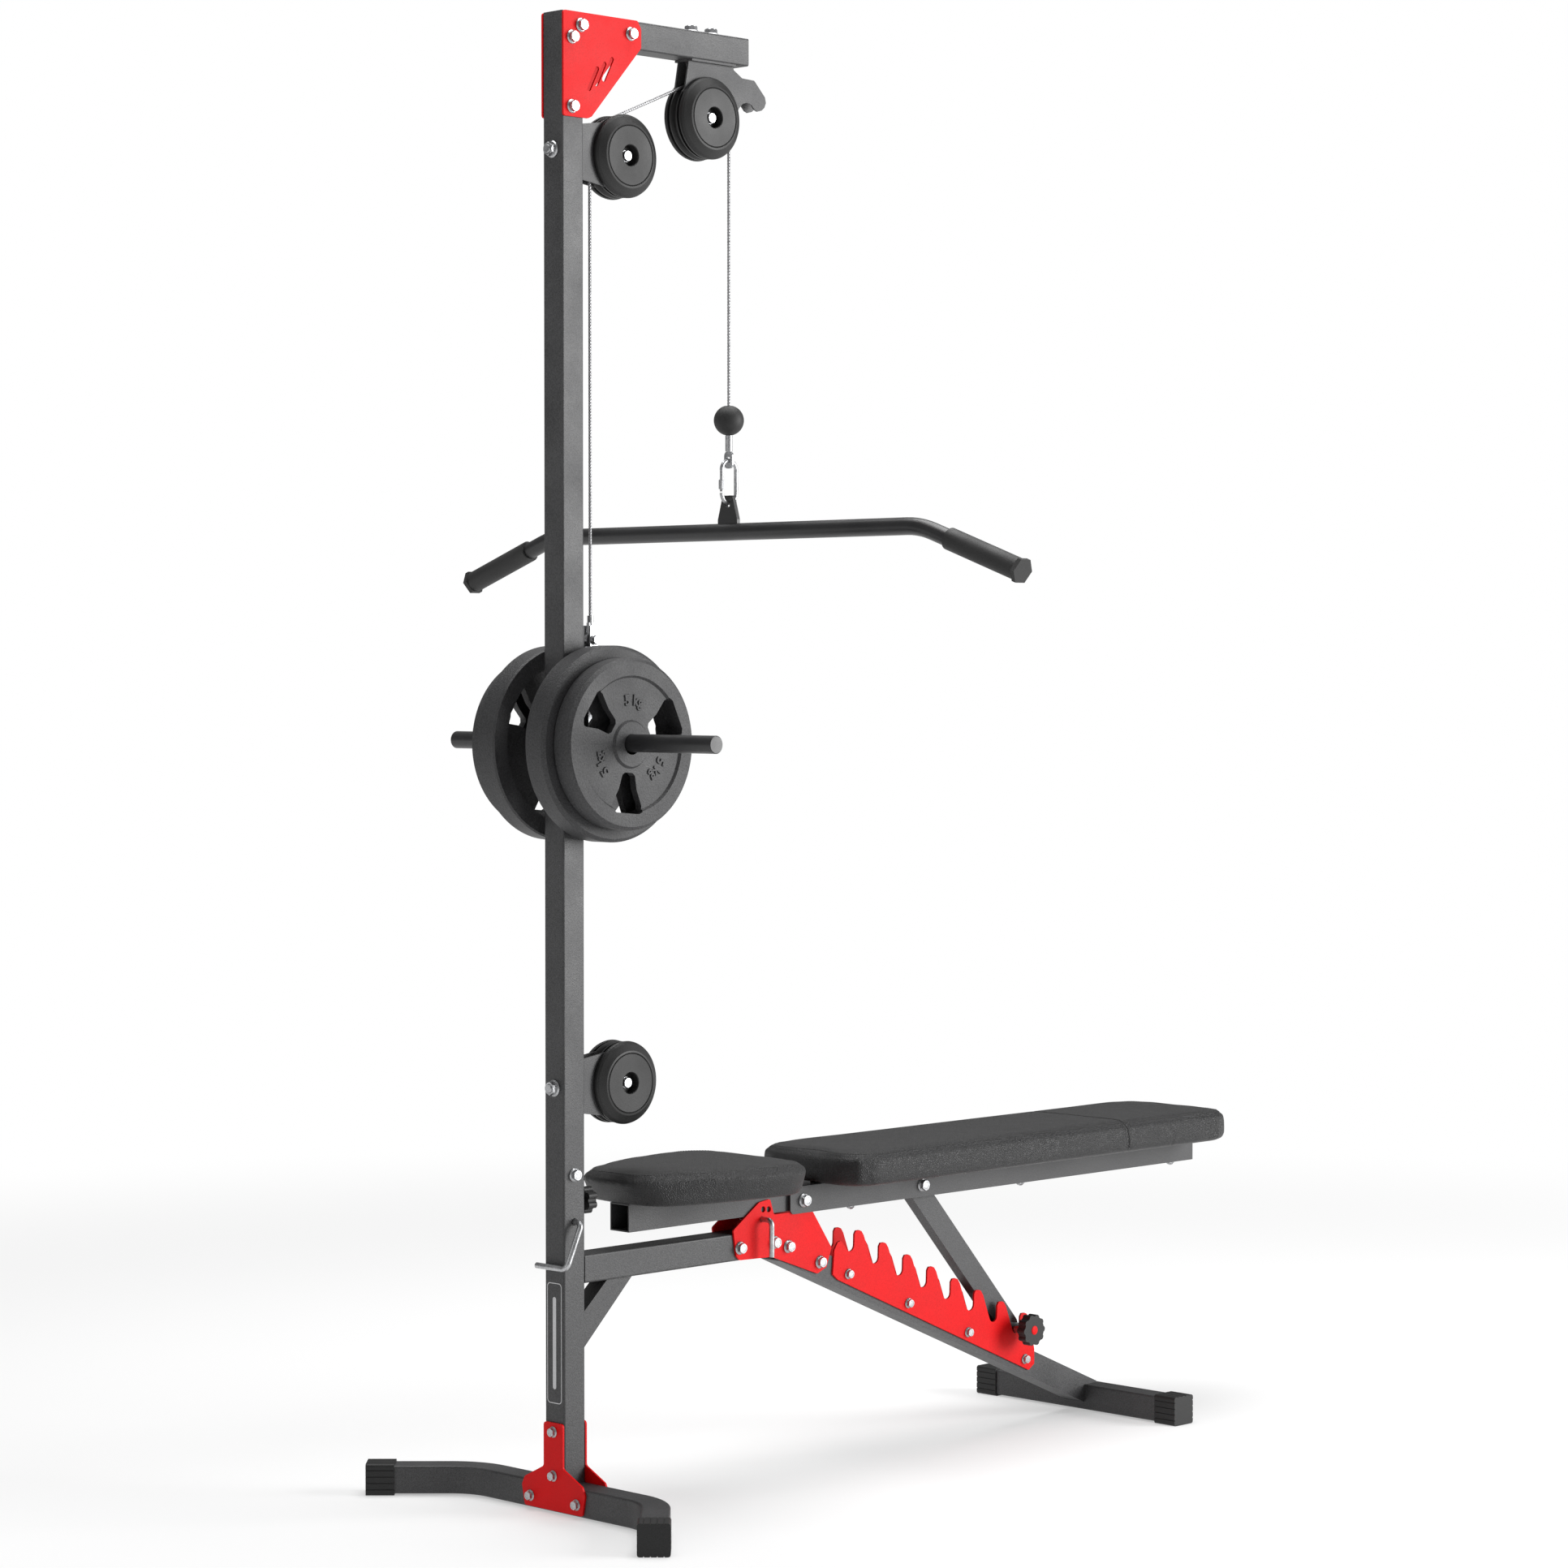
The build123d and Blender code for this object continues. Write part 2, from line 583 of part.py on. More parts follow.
PLATE_START = 32.0
with BuildPart() as weight_pin:
    with BuildSketch(side_plane(PIN_REACH)):
        with Locations((PIN_FORWARD, PIN_Z)):
            Circle(PIN_RADIUS)
    extrude(amount=2 * PIN_REACH)
    chamfer(edges().filter_by(GeomType.CIRCLE), 1.0)
    for side in (1, -1):
        with BuildSketch(side_plane(side * (PLATE_START - 0.5))):
            with Locations((PIN_FORWARD, PIN_Z)):
                Circle(COLLAR)
        extrude(amount=side * 5.5)
save(weight_pin.part, "weight_pin")

CLEVIS_INNER = 5.0
with BuildPart() as carriage_clevis:
    for face in (-CLEVIS_INNER, CLEVIS_INNER + PLATE):
        with BuildSketch(side_plane(face)):
            with BuildLine():
                Polyline((25, 1112), (40, 1112), (57, 1130), (57, CLEVIS_TOP), (43, CLEVIS_TOP), (43, 1142),
                         (25, 1142), close=True)
            make_face()
        extrude(amount=PLATE)
    holes_along_y([(REAR_CABLE, EYE_Z)], SMALL_HOLE)
save(carriage_clevis.part, "carriage_clevis")

with BuildPart() as clevis_bolt:
    bolts(along_y, [(REAR_CABLE, EYE_Z)], -CLEVIS_INNER - PLATE, CLEVIS_INNER + PLATE, SMALL_BOLT, 7.5, 6.6)
save(clevis_bolt.part, "clevis_bolt")

with BuildPart() as cable_eye_rear:
    with BuildSketch(side_plane(3)):
        with Locations((REAR_CABLE, EYE_Z)):
            Circle(10)
        with Locations((REAR_CABLE, EYE_Z + 14)):
            Rectangle(9, 20)
        with Locations((REAR_CABLE, EYE_Z)):
            Circle(SMALL_HOLE, mode=Mode.SUBTRACT)
    extrude(amount=6)
    with BuildSketch(floor_plane(EYE_Z + 20)):
        with Locations((REAR_CABLE, 0)):
            Circle(4.4)
    extrude(amount=CABLE_LOW - EYE_Z - 20)
save(cable_eye_rear.part, "cable_rear_eye")

# ---------------------------------------------------------------- weight plates
PLATE_CENTRE = (PIN_FORWARD, PIN_Z - PLATE_DROP)
BIG_RADIUS = 137.5
SMALL_RADIUS = 120.0
BIG_THICK = 38.5
SMALL_THICK = 32.0


HAND_HOLE = [(0.36, -0.10), (0.52, -0.14), (0.70, -0.23), (0.77, -0.23), (0.80, -0.18), (0.80, 0.18), (0.77, 0.23),
             (0.70, 0.23), (0.52, 0.14), (0.36, 0.10), (0.33, 0.06), (0.33, -0.06)]


def hand_hole(radius, turn):
    """Outline of a waisted opening that widens towards the rim, turned about the plate's centre."""
    return [(PLATE_CENTRE[0] + radius * (out * math.cos(turn) - across * math.sin(turn)),
             PLATE_CENTRE[1] + radius * (out * math.sin(turn) + across * math.cos(turn))) for out, across in HAND_HOLE]


def weight_plate(radius, inner, thick, side, label):
    """Cast plate between |y| = inner and inner + thick: dished on its inner face, three hand holes."""
    panel = radius * 0.78
    outer = inner + thick
    profile = [
        (PLATE_BORE, inner), (30, inner), (32, outer - 15), (panel, outer - 15), (panel + 4, inner + 1.5),
        (radius - 2, inner), (radius, inner + 3), (radius, outer - 5), (radius - 5, outer), (panel + 2, outer),
        (panel - 1, outer - 3.5), (34, outer - 3.5), (31, outer), (PLATE_BORE, outer),
    ]
    with BuildPart() as disc:
        with BuildSketch(at_axle(PLATE_CENTRE)):
            with BuildLine():
                Polyline(*[(r, side * y) for r, y in profile], close=True)
            make_face()
        revolve(axis=axle_axis(PLATE_CENTRE))
        with BuildSketch(side_plane(200)):
            for turn in (-95, 25, 145):
                with BuildLine():
                    Polyline(*hand_hole(radius, math.radians(turn)), close=True)
                make_face()
        extrude(amount=400, mode=Mode.SUBTRACT)
    save(disc.part, label)


for side, name in ((-1, "near"), (1, "far")):
    weight_plate(BIG_RADIUS, PLATE_START, BIG_THICK, side, f"{name}_large_plate")
    weight_plate(SMALL_RADIUS, PLATE_START + BIG_THICK + 0.3, SMALL_THICK, side, f"{name}_small_plate")

# ---------------------------------------------------------------- bench frame
BEAM_BOLTS = [(323.5, 342), (395, 343)]
LEG_BOLTS = [(424, 334), (491, 304)]
SLOPE = math.tan(math.radians(LEG_ANGLE))
LEG_RISE = TUBE / math.cos(math.radians(LEG_ANGLE))


def leg_under(forward):
    """Height of the bench leg's underside."""
    return 318.0 + SLOPE * (forward - 399.0)


with BuildPart() as main_beam:
    with BuildSketch(front_plane(HALF)):
        with Locations((0, BEAM_BASE + HALF)):
            tube_section()
    extrude(amount=BEAM_END - HALF)
    holes_along_y(BEAM_BOLTS, HOLE)
save(main_beam.part, "main_beam")

BRACE = [(20, 229), (20, 280), (67, 323), (115, 323)]
BRACE_WIDTH = 30.0
with BuildPart() as beam_brace:
    with BuildSketch(side_plane(BRACE_WIDTH / 2)):
        with BuildLine():
            Polyline(*BRACE, close=True)
        make_face()
    extrude(amount=BRACE_WIDTH)
    with BuildSketch(side_plane(BRACE_WIDTH / 2 - WALL)):
        with BuildLine():
            Polyline((20, 232), (20, 277), (70, 323), (112, 323), close=True)
        make_face()
    extrude(amount=BRACE_WIDTH - 2 * WALL, mode=Mode.SUBTRACT)
save(beam_brace.part, "beam_brace")

LEG_START = BEAM_END + 1.0
LEG_END = 1131.0
FOOT_FACE = BENCH_FOOT_X - HALF
with BuildPart() as bench_leg:
    for shrink, mode in ((0.0, Mode.ADD), (WALL, Mode.SUBTRACT)):
        lower = shrink / math.cos(math.radians(LEG_ANGLE))
        upper = LEG_RISE - lower
        with BuildSketch(side_plane(HALF - shrink)):
            with BuildLine():
                Polyline((LEG_START, leg_under(LEG_START) + lower), (LEG_END, leg_under(LEG_END) + lower),
                         (LEG_END, leg_under(LEG_END) + upper), (LEG_START, leg_under(LEG_START) + upper), close=True)
            make_face()
        extrude(amount=TUBE - 2 * shrink, mode=mode)
    with BuildSketch(side_plane(HALF)):
        with Locations((FOOT_FACE + HALF, FOOT_TOP - TUBE)):
            Rectangle(TUBE, 2 * TUBE)
    extrude(amount=TUBE, mode=Mode.SUBTRACT)
    holes_along_y(LEG_BOLTS, HOLE)
    LADDER_BOLTS = [(552.5, 279.5), (685, 220.5), (821, 160), (954, 102)]
    holes_along_y(LADDER_BOLTS, SMALL_HOLE)
save(bench_leg.part, "bench_leg")

BENCH_FOOT_HALF = 205.0
with BuildPart() as bench_foot:
    with BuildSketch(Plane(origin=(POST_X + BENCH_FOOT_X, -BENCH_FOOT_HALF, FOOT_LIFT + HALF),
                           x_dir=(1, 0, 0), z_dir=(0, 1, 0))):
        tube_section()
    extrude(amount=2 * BENCH_FOOT_HALF)
save(bench_foot.part, "bench_foot")

with BuildPart() as bench_foot_caps:
    for side in (1, -1):
        foot_cap((BENCH_FOOT_X, side * BENCH_FOOT_HALF), (0, side))
save(bench_foot_caps.part, "bench_foot_caps")

JOINT_OUTLINE = [
    (310, 369), (316, 331), (323, 324), (390, 322), (486, 287), (505, 295), (516, 323), (475, 382), (475, 414),
    (436, 414), (430, 384), (394, 384), (386, 408), (363, 405),
]
SEAT_HOLES = [SEAT_PIN, (371.6, 394), (383, 393)]
with BuildPart() as joint_plates:
    for face in (-HALF, HALF + PLATE):
        with BuildSketch(side_plane(face)):
            rounded_outline(JOINT_OUTLINE, 4.0)
        extrude(amount=PLATE)
    holes_along_y(BEAM_BOLTS + LEG_BOLTS + [PIVOT], HOLE)
    holes_along_y(SEAT_HOLES, ROD + 0.3)
save(joint_plates.part, "joint_plates")

NOTCH_RADIUS = 9.0
TOOTH = [(30, 21), (25, 28), (20, 30), (13, 30), (9.5, 25), (9, 9)]   # a tooth's tip, from the notch bottom before it


def notch_bottom(index):
    return (FIRST_NOTCH[0] + index * NOTCH_PITCH[0], FIRST_NOTCH[1] + index * NOTCH_PITCH[1])


def notch_centre(index):
    return (notch_bottom(index)[0], notch_bottom(index)[1] + NOTCH_RADIUS)


def ladder_edge():
    """Toothed top edge, from its low end back to its high end."""
    points = []
    for index in reversed(range(NOTCHES)):
        start = notch_bottom(index)
        points += [(start[0] + forward, start[1] + up) for forward, up in TOOTH]
        centre = notch_centre(index)
        for turn in range(-20, -161, -20):
            angle = math.radians(turn)
            points.append((centre[0] + NOTCH_RADIUS * math.cos(angle), centre[1] + NOTCH_RADIUS * math.sin(angle)))
    return points


LADDER_LOW = [(519, 282), (530, 273), (963, 83.5), (976, 92), (976, 115), (966, 157)]
with BuildPart() as ladder_plates:
    for face in (-HALF, HALF + PLATE):
        with BuildSketch(side_plane(face)):
            with BuildLine():
                Polyline(*LADDER_LOW, *ladder_edge(), (541, 327), (535, 331), (529, 329), (522, 318), close=True)
            make_face()
        extrude(amount=PLATE)
    holes_along_y(LADDER_BOLTS, SMALL_HOLE)
save(ladder_plates.part, "ladder_plates")

OUTER = HALF + PLATE
BACK_HALF = 25.5            # half width of the backrest's rail
with BuildPart() as tower_bolts:
    bolts(along_y, HEAD_BOLTS, -OUTER, OUTER, BOLT, 9.8, 8.7)
    bolts(along_y, POST_BOLT, -HALF, HALF, BOLT, 9.8, 8.7)
    bolts(along_y, [UPPER_PULLEY, FRONT_PULLEY, LOW_PULLEY], -14, 14, AXLE, 9.5, 8.6)
    bolts(front_plane, GUSSET_BOLTS, -OUTER, OUTER, SMALL_BOLT, 8.0, 7.2)
    bolts(front_plane, BRACKET_BOLTS, -HALF, OUTER, BOLT, 12.0, 9.5, nut=(8.3, 8.0))
    bolts(arm_plane, ARM_BOLTS, -TOWER_TOP, PLATE - ARM_BASE, BOLT, 11.5, 9.2, nut=(8.3, 8.0))
save(tower_bolts.part, "tower_bolts")

with BuildPart() as bench_bolts:
    bolts(along_y, BEAM_BOLTS + LEG_BOLTS, -OUTER, OUTER, BOLT, 9.8, 8.7)
    bolts(along_y, LADDER_BOLTS, -OUTER, OUTER, SMALL_BOLT, 8.0, 7.2)
    bolts(along_y, [PIVOT], -BACK_HALF - 0.3, BACK_HALF + 0.3, BOLT, 10.5, 9.2)
save(bench_bolts.part, "bench_bolts")

# ---------------------------------------------------------------- seat
RAIL_BASE = 386.0
SEAT_BASE = RAIL_BASE + 40.0
with BuildPart() as seat_rail:
    for shrink, mode in ((0.0, Mode.ADD), (WALL, Mode.SUBTRACT)):
        with BuildSketch(side_plane(SEAT_RAIL / 2 - shrink)):
            with BuildLine():
                Polyline((SEAT_RAIL_FRONT, RAIL_BASE + shrink), (474 - shrink, RAIL_BASE + shrink),
                         (474 - shrink, SEAT_BASE - shrink), (SEAT_RAIL_FRONT, SEAT_BASE - shrink), close=True)
            make_face()
        extrude(amount=SEAT_RAIL - 2 * shrink, mode=mode)
    holes_along_y([PIVOT], HOLE + 0.2)
save(seat_rail.part, "seat_rail")

SEAT_REAR = 391.0


def mirrored(half):
    """Closed outline from the points of its +Y half, listed from front to rear."""
    return half + [(x, -y) for x, y in reversed(half)]


def smoothed(outline, rounds=2):
    """The closed outline with its corners cut evenly, round by round, so that it reads as a curve."""
    for _ in range(rounds):
        finer = []
        for (x0, y0), (x1, y1) in zip(outline, outline[1:] + outline[:1]):
            finer += [(0.78 * x0 + 0.22 * x1, 0.78 * y0 + 0.22 * y1), (0.22 * x0 + 0.78 * x1, 0.22 * y0 + 0.78 * y1)]
        outline = finer
    return outline


SEAT_LOW = smoothed(mirrored([(100, 52), (124, 88), (212, 109), (290, 119), (354, 119), (SEAT_REAR - 3, 88)]))
SEAT_MIDDLE = smoothed(mirrored([(71, 46), (106, 80), (208, 121), (288, 130), (358, 130), (SEAT_REAR, 96)]))
SEAT_EDGE = smoothed(mirrored([(75, 44), (109, 77), (209, 118), (288, 126), (356, 126), (SEAT_REAR - 3, 93)]))
SEAT_TOP = smoothed(mirrored([(86, 40), (118, 70), (211, 110), (288, 118), (350, 118), (SEAT_REAR - 11, 88)]))


def padded_block(levels, label):
    """Soft block lofted through outlines given as (height, points)."""
    with BuildPart() as block:
        for height, points in levels:
            with BuildSketch(floor_plane(height)):
                with BuildLine():
                    Polyline(*points, close=True)
                make_face()
        loft(ruled=True)
    save(block.part, label)


padded_block([(SEAT_BASE, SEAT_LOW), (SEAT_BASE + 36, SEAT_MIDDLE), (SEAT_BASE + 44, SEAT_EDGE), (SEAT_BASE + 50, SEAT_TOP)], "seat_pad")

# ---------------------------------------------------------------- backrest
BACK_BASE = 381.0
BACK_TOP = 421.0
BACK_FRONT = 426.0
FORK_END = 490.0
with BuildPart() as back_rail:
    with BuildSketch(side_plane(BACK_HALF)):
        with BuildLine():
            Polyline((BACK_FRONT, BACK_BASE), (BACK_RAIL_END, BACK_BASE), (BACK_RAIL_END, BACK_TOP),
                     (BACK_FRONT, BACK_TOP), close=True)
        make_face()
        fillet(vertices().group_by(Axis.X)[0], 8.0)
    extrude(amount=2 * BACK_HALF)
    with BuildSketch(side_plane(BACK_HALF - WALL)):
        with Locations(((BACK_FRONT + BACK_RAIL_END) / 2 - 1, (BACK_BASE + BACK_TOP) / 2)):
            Rectangle(BACK_RAIL_END - BACK_FRONT + 2, BACK_TOP - BACK_BASE - 2 * WALL)
        with Locations((FORK_END, BACK_BASE - 1)):
            Rectangle(200, 100, align=(Align.MAX, Align.MIN))
    extrude(amount=2 * BACK_HALF - 2 * WALL, mode=Mode.SUBTRACT)
    with BuildSketch(floor_plane(BACK_BASE - 1)):
        with Locations((SUPPORT_PIVOT[0] - 18, 0)):
            Rectangle(140, 26)
    extrude(amount=10, mode=Mode.SUBTRACT)
    holes_along_y([PIVOT], HOLE + 0.2)
    holes_along_y([SUPPORT_PIVOT], HOLE)
save(back_rail.part, "back_rail")

BACK_HALF_WIDTH = 113.0
PAD_FRONT = 482.0
BACK_CORNER = 38.0


def back_outline(inset):
    half = BACK_HALF_WIDTH - inset
    front = PAD_FRONT + inset
    rear = BENCH_END - inset
    cut = BACK_CORNER * 0.62
    return mirrored([
        (front, half - BACK_CORNER), (front + cut * 0.45, half - cut * 0.45), (front + BACK_CORNER, half),
        (rear - BACK_CORNER, half), (rear - cut * 0.45, half - cut * 0.45), (rear, half - BACK_CORNER),
    ])


BACK_LEVELS = [(BACK_TOP, 6.0), (BACK_TOP + 8, 0.0), (BACK_TOP + 43, 0.0), (BACK_TOP + 49, 3.0), (BACK_TOP + 53, 9.0)]
padded_block([(height, back_outline(inset)) for height, inset in BACK_LEVELS], "back_pad")

LEG_THICK = 20.0
SUPPORT_WIDTH = 37.0
SUPPORT_REACH = (CATCH_BAR[0] - SUPPORT_PIVOT[0], CATCH_BAR[1] - SUPPORT_PIVOT[1])
SUPPORT_LENGTH = math.hypot(*SUPPORT_REACH)
SUPPORT_ANGLE = math.degrees(math.atan2(SUPPORT_REACH[1], SUPPORT_REACH[0]))
with BuildPart() as support_leg:
    with BuildSketch(side_plane(LEG_THICK / 2)):
        with Locations(((SUPPORT_PIVOT[0] + CATCH_BAR[0]) / 2, (SUPPORT_PIVOT[1] + CATCH_BAR[1]) / 2)):
            SlotCenterToCenter(SUPPORT_LENGTH, SUPPORT_WIDTH, rotation=SUPPORT_ANGLE)
    extrude(amount=LEG_THICK)
    holes_along_y([SUPPORT_PIVOT], HOLE + 0.2)
    holes_along_y([CATCH_BAR], CATCH_RADIUS)
save(support_leg.part, "support_leg")

CATCH_NEAR = 46.0
CATCH_FAR = 32.0
with BuildPart() as catch_bar:
    with BuildSketch(side_plane(CATCH_FAR)):
        with Locations(CATCH_BAR):
            Circle(CATCH_RADIUS)
    extrude(amount=CATCH_NEAR + CATCH_FAR)
save(catch_bar.part, "catch_bar")

with BuildPart() as catch_knob:
    with BuildSketch(side_plane(-CATCH_NEAR - 15)):
        with Locations(CATCH_BAR):
            Circle(22)
            with PolarLocations(19.5, 10):
                Circle(5.2)
    extrude(amount=-15)
save(catch_knob.part, "catch_knob")

PAD_BOLTS = [(581, 0), (968, 0), (1340, 0)]
with BuildPart() as support_bolt:
    bolts(along_y, [SUPPORT_PIVOT], -BACK_HALF, BACK_HALF, BOLT, 10.5, 9.2)
    with BuildSketch(floor_plane(BACK_BASE)):
        with Locations(*PAD_BOLTS):
            Circle(6)
    extrude(amount=-5)
save(support_bolt.part, "backrest_bolts")

with BuildPart() as seat_lock_pin:
    bent_rod([(*SEAT_PIN[:1], 27, SEAT_PIN[1]), (SEAT_PIN[0], -43, SEAT_PIN[1]), (SEAT_PIN[0], -43, 326)], 8.0, 4.0)
save(seat_lock_pin.part, "seat_lock_pin")
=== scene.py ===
# %% [markdown]
# # A cable tower and an adjustable bench
# This home gym is a square steel post that carries a cable over two pulleys, a stack of cast
# plates that the cable lifts, and a padded bench bolted to the foot of the post. The exact
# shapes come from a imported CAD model, which we load as a fixed frame. Blender then adds what
# CAD leaves out: paint, leather grain, stitching, twisted wire and crisp bolt heads.

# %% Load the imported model
import json
import math
import bmesh
import bpy
import numpy as np
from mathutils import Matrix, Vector
from mathutils.bvhtree import BVHTree


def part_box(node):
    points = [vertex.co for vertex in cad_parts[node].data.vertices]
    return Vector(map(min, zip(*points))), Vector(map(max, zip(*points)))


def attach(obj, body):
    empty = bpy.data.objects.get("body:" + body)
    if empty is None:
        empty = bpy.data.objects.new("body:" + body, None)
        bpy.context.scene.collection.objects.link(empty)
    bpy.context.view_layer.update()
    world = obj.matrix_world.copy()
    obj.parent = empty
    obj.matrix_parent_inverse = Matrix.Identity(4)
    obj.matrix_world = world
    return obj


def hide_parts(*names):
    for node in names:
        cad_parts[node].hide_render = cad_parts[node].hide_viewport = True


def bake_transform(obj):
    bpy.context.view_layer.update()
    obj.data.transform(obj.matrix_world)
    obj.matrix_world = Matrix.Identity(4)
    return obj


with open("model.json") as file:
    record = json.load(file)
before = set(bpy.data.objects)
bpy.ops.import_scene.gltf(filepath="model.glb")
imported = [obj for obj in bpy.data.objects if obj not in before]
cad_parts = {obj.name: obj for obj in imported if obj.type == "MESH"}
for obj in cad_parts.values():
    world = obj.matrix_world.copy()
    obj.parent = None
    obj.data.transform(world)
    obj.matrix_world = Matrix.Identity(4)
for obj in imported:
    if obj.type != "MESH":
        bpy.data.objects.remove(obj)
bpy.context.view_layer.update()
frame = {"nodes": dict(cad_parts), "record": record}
scene = bpy.context.scene

# %% [markdown]
# Everything is placed from the post, because all of the tower hangs on it. The middle of the
# post's box gives its axis, and every other place is read from the box of a CAD node.

# %% Find the post's axis
post_low, post_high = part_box("upper_post")
POST_X = (post_low.x + post_high.x) / 2
print("post axis at x =", round(POST_X, 4))

# %% [markdown]
# ## Camera and studio
# A long lens from low on the corner of the tower gives nearly parallel edges, as in a
# catalogue. It stands 5.7 m away at chest height and looks down by less than 2 degrees.

# %% Set up the camera
camera_data = bpy.data.cameras.new("catalogue lens")
camera = bpy.data.objects.new("catalogue camera", camera_data)
scene.collection.objects.link(camera)
camera.location = (POST_X - 3.8009, -4.1899, 1.1927)
camera.rotation_euler = (math.radians(90 - 1.692), 0, math.radians(-45.334))
camera_data.lens = 92.58
camera_data.sensor_width = 36
camera_data.dof.use_dof = False
scene.camera = camera
scene.view_settings.view_transform = "Standard"
print("camera", [round(v, 3) for v in camera.location])

# %% [markdown]
# The gym is dark, so it needs broad lights that glance off its faces: a large soft box on the
# bench side, a weaker one on the tower side, and a strip overhead. Large boxes give soft
# shadows. The room looks white, but lights the gym only dimly, so that the sides that no box
# reaches stay dark.

# %% Light the studio
def soft_box(name, place, aim, width, height, power):
    data = bpy.data.lights.new(name, "AREA")
    data.shape = "RECTANGLE"
    data.size, data.size_y, data.energy = width, height, power
    lamp = bpy.data.objects.new(name, data)
    scene.collection.objects.link(lamp)
    lamp.location = place
    lamp.rotation_euler = (Vector(aim) - Vector(place)).to_track_quat("-Z", "Y").to_euler()
    return lamp


soft_box("bench side box", (3.4, -4.6, 1.9), (-0.2, 0, 1.0), 3.0, 3.4, 380)
soft_box("tower side box", (-4.8, 0.6, 2.4), (-0.3, 0, 1.0), 1.6, 2.4, 18)
soft_box("overhead box", (0.2, 0.3, 4.4), (0.1, 0, 0), 3.0, 3.0, 170)
room = bpy.data.worlds.new("white room")
room.use_nodes = True
seen_room = room.node_tree.nodes["Background"]
seen_room.inputs["Color"].default_value = (1, 1, 1, 1)
lit_room = room.node_tree.nodes.new("ShaderNodeBackground")
lit_room.inputs["Strength"].default_value = 0.30
ray_kind = room.node_tree.nodes.new("ShaderNodeLightPath")
room_mix = room.node_tree.nodes.new("ShaderNodeMixShader")
room.node_tree.links.new(ray_kind.outputs["Is Camera Ray"], room_mix.inputs["Fac"])
room.node_tree.links.new(lit_room.outputs["Background"], room_mix.inputs[1])
room.node_tree.links.new(seen_room.outputs["Background"], room_mix.inputs[2])
room.node_tree.links.new(room_mix.outputs["Shader"], room.node_tree.nodes["World Output"].inputs["Surface"])
scene.world = room

# %% [markdown]
# The floor is a wide pale disc. Near the gym it takes shadows, and further out its paint fades
# to the same glow as the room, so that no horizon shows.

# %% Lay the floor
def new_mesh_object(name, points, faces):
    mesh = bpy.data.meshes.new(name)
    mesh.from_pydata([tuple(p) for p in points], [], faces)
    mesh.update()
    thing = bpy.data.objects.new(name, mesh)
    scene.collection.objects.link(thing)
    return thing


FLOOR_RADIUS, FLOOR_CORNERS = 30, 96
floor_angles = np.linspace(0, 2 * math.pi, FLOOR_CORNERS, endpoint=False)
floor_rim = [(math.cos(a) * FLOOR_RADIUS, math.sin(a) * FLOOR_RADIUS, 0) for a in floor_angles]
floor = new_mesh_object("studio_floor", floor_rim, [list(range(FLOOR_CORNERS))])
floor_paint = bpy.data.materials.new("pale floor")
floor_paint.use_nodes = True
floor_nodes, floor_links = floor_paint.node_tree.nodes, floor_paint.node_tree.links
floor_paint_shader = floor_nodes["Principled BSDF"]
floor_paint_shader.inputs["Base Color"].default_value = (0.93, 0.93, 0.93, 1)
floor_paint_shader.inputs["Roughness"].default_value = 0.7
glow = floor_nodes.new("ShaderNodeEmission")
distance = floor_nodes.new("ShaderNodeVectorMath")
distance.operation = "LENGTH"
fade = floor_nodes.new("ShaderNodeMapRange")
fade.interpolation_type = "SMOOTHSTEP"
fade.inputs["From Min"].default_value = 1.8
fade.inputs["From Max"].default_value = 4.0
fade.inputs["To Min"].default_value = 0.42
mixer = floor_nodes.new("ShaderNodeMixShader")
floor_place = floor_nodes.new("ShaderNodeTexCoord")
floor_links.new(floor_place.outputs["Object"], distance.inputs[0])
floor_links.new(distance.outputs["Value"], fade.inputs["Value"])
floor_links.new(fade.outputs["Result"], mixer.inputs["Fac"])
floor_links.new(floor_paint_shader.outputs["BSDF"], mixer.inputs[1])
floor_links.new(glow.outputs["Emission"], mixer.inputs[2])
floor_links.new(mixer.outputs["Shader"], floor_nodes["Material Output"].inputs["Surface"])
floor.data.materials.append(floor_paint)
print("floor is", round(floor.dimensions.x, 1), "m across")

# %% [markdown]
# ## Finishes
# Every finish here is a Principled shader whose colour, roughness and bump come from noise
# measured in object space, so a pattern keeps its real size on every piece. One helper builds
# the part they share: a cloudy colour, a cloudy roughness and a fine bump.

